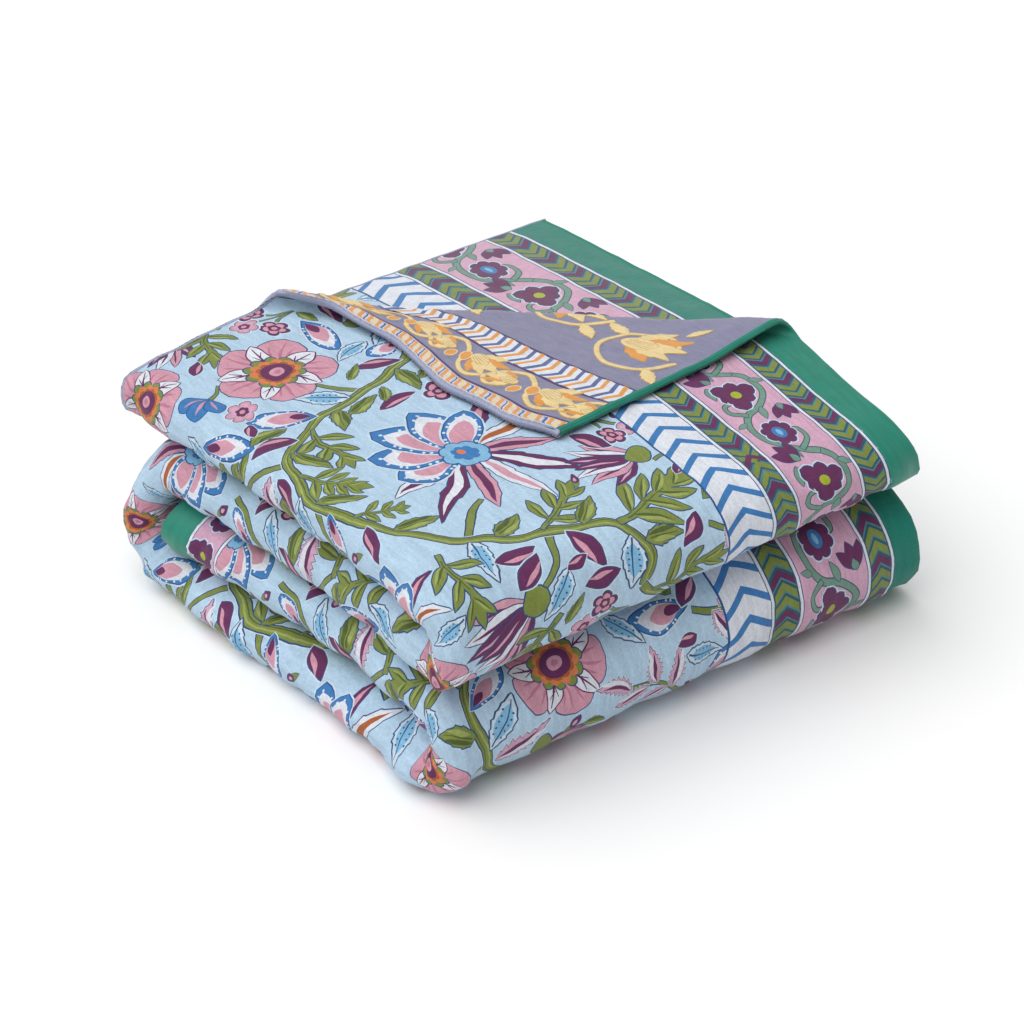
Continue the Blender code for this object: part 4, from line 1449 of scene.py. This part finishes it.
# Each UV map's knots, along and then across the cloth: millimetres of print, and a share of the map.
LOW, HIGH = 0.005, 0.995
FACE_TOP_MAP = (
    ((0.0, LOW), (FIRST_END_REACH + 20.0, HIGH)),
    ((0.0, LOW), (512.0, 0.84), (PRINT_WIDTH, HIGH)),
)
FACE_LOWER_MAP = (
    ((FIRST_END_REACH - 20.0, LOW), (1390.0, 0.66), (1540.0, 0.84), (PRINT_LENGTH, HIGH)),
    ((0.0, LOW), (430.0, 0.14), (520.0, 0.40), (740.0, 0.66), (960.0, 0.84), (PRINT_WIDTH, HIGH)),
)
REVERSE_MAP = (
    ((0.0, LOW), (400.0, 0.86), (PRINT_LENGTH, HIGH)),
    ((0.0, LOW), (420.0, 0.46), (PRINT_WIDTH - 420.0, 0.54), (PRINT_WIDTH, HIGH)),
)

cotton, jacquard, sateen, tape = printed_cotton(), brushed_reverse(), green_sateen(), grey_tape()

# The printed face is in two pieces, which meet in the crease between the two smooth folds.
printed = face_print()
face_first, face_last, *face_sides = PANEL_EDGES
face_top = printed_side("printed_face_top", printed, "sky", face_shows, 1.0,
                        (face_first, TOP_REACH, *face_sides), cotton, FACE_STEPS, FACE_TOP_MAP)
face_lower = printed_side("printed_face_lower", printed, "sky", face_shows, 1.0,
                          (TOP_REACH, face_last, *face_sides), cotton, FACE_STEPS, FACE_LOWER_MAP)
reverse_cloth = printed_side("woven_reverse", reverse_print(), "lavender", reverse_shows, -1.0,
                             REVERSE_EDGES, jacquard, REVERSE_STEPS, REVERSE_MAP)

strip_section = rounded_edge(STRIP_WIDTH, STRIP_BACK, STRIP_PROUD)
piping_section = rounded_edge(PIPING_SHOWN, PIPING_SHOWN, PIPING_PROUD)
side_run = np.linspace(PIPING_SHOWN - TUCK, LENGTH - 0.001, 330)
end_run = np.linspace(0.0005, WIDTH - 0.0005, 300)
top_strip, inner_strip, end_strip, piping = (edge_piece(*edge) for edge in (
    ("green_strip_top", strip_section, side_run, lambda run, inset: (run, inset), sateen),
    ("green_strip_inner", strip_section, side_run, lambda run, inset: (run, WIDTH - inset), sateen),
    ("green_strip_end", strip_section, end_run, lambda run, inset: (LENGTH - inset, run), sateen),
    ("grey_piping", piping_section, end_run, lambda run, inset: (inset, run), tape),
))

for piece, replaced, slot in (
    (face_top, "quilted_panel", "printed_cotton"), (face_lower, "quilted_panel", "printed_cotton"),
    (reverse_cloth, "quilted_panel", "printed_cotton"), (top_strip, "side_strip_top", "green_binding"),
    (inner_strip, "side_strip_inner", "green_binding"), (end_strip, "end_strip", "green_binding"),
    (piping, "end_piping", "grey_piping"),
):
    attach(piece, "root")
    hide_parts(replaced)

# ---------------- floor, light and camera

FLOOR_SIZE = 8.0
AZIMUTH, PITCH = math.radians(35.0), math.radians(32.4)
CAMERA_PLACE = (-0.798, -1.165, 0.95)
SENSOR_MM, LENS_MM = 36.0, 71.19140625
WORLD_STRENGTH = 0.40
KEY_TOWARDS, KEY_STRENGTH, KEY_SPREAD = (-0.35, 0.12, 0.93), 2.55, 74.0


def white_floor():
    """A wide floor of matt white paper."""
    bpy.ops.mesh.primitive_plane_add(size=FLOOR_SIZE)
    sheet = bpy.context.object
    sheet.name = "studio_floor"
    paper = bpy.data.materials.new("matt white paper")
    paper.use_nodes = True
    shader = paper.node_tree.nodes["Principled BSDF"]
    shader.inputs["Base Color"].default_value = linear(PAPER_WHITE)
    shader.inputs["Roughness"].default_value = 0.9
    sheet.data.materials.append(paper)
    return sheet


def white_studio():
    """Even white light from all round."""
    world = bpy.data.worlds.new("white studio")
    bpy.context.scene.world = world
    world.use_nodes = True
    background = world.node_tree.nodes["Background"]
    background.inputs["Color"].default_value = (1.0, 1.0, 1.0, 1.0)
    background.inputs["Strength"].default_value = WORLD_STRENGTH


def window_light():
    """A wide soft light from the upper left."""
    light = bpy.data.lights.new("window_key", "SUN")
    light.energy, light.angle = KEY_STRENGTH, math.radians(KEY_SPREAD)
    lamp = bpy.data.objects.new("window_key", light)
    bpy.context.scene.collection.objects.link(lamp)
    lamp.rotation_euler = Vector(KEY_TOWARDS).to_track_quat("Z", "Y").to_euler()


def place_camera():
    """The camera, level and looking down at the near corner."""
    view = bpy.data.cameras.new("camera")
    view.sensor_width, view.lens = SENSOR_MM, LENS_MM
    camera = bpy.data.objects.new("camera", view)
    bpy.context.scene.collection.objects.link(camera)
    right = Vector((math.cos(AZIMUTH), -math.sin(AZIMUTH), 0.0))
    level = math.cos(PITCH)
    look = Vector((math.sin(AZIMUTH) * level, math.cos(AZIMUTH) * level, -math.sin(PITCH)))
    turned = Matrix((right, right.cross(look), -look)).transposed().to_4x4()
    camera.matrix_world = Matrix.Translation(CAMERA_PLACE) @ turned
    bpy.context.scene.camera = camera
    bpy.context.scene.view_settings.view_transform = "Standard"


floor = white_floor()

white_studio()
window_light()
place_camera()
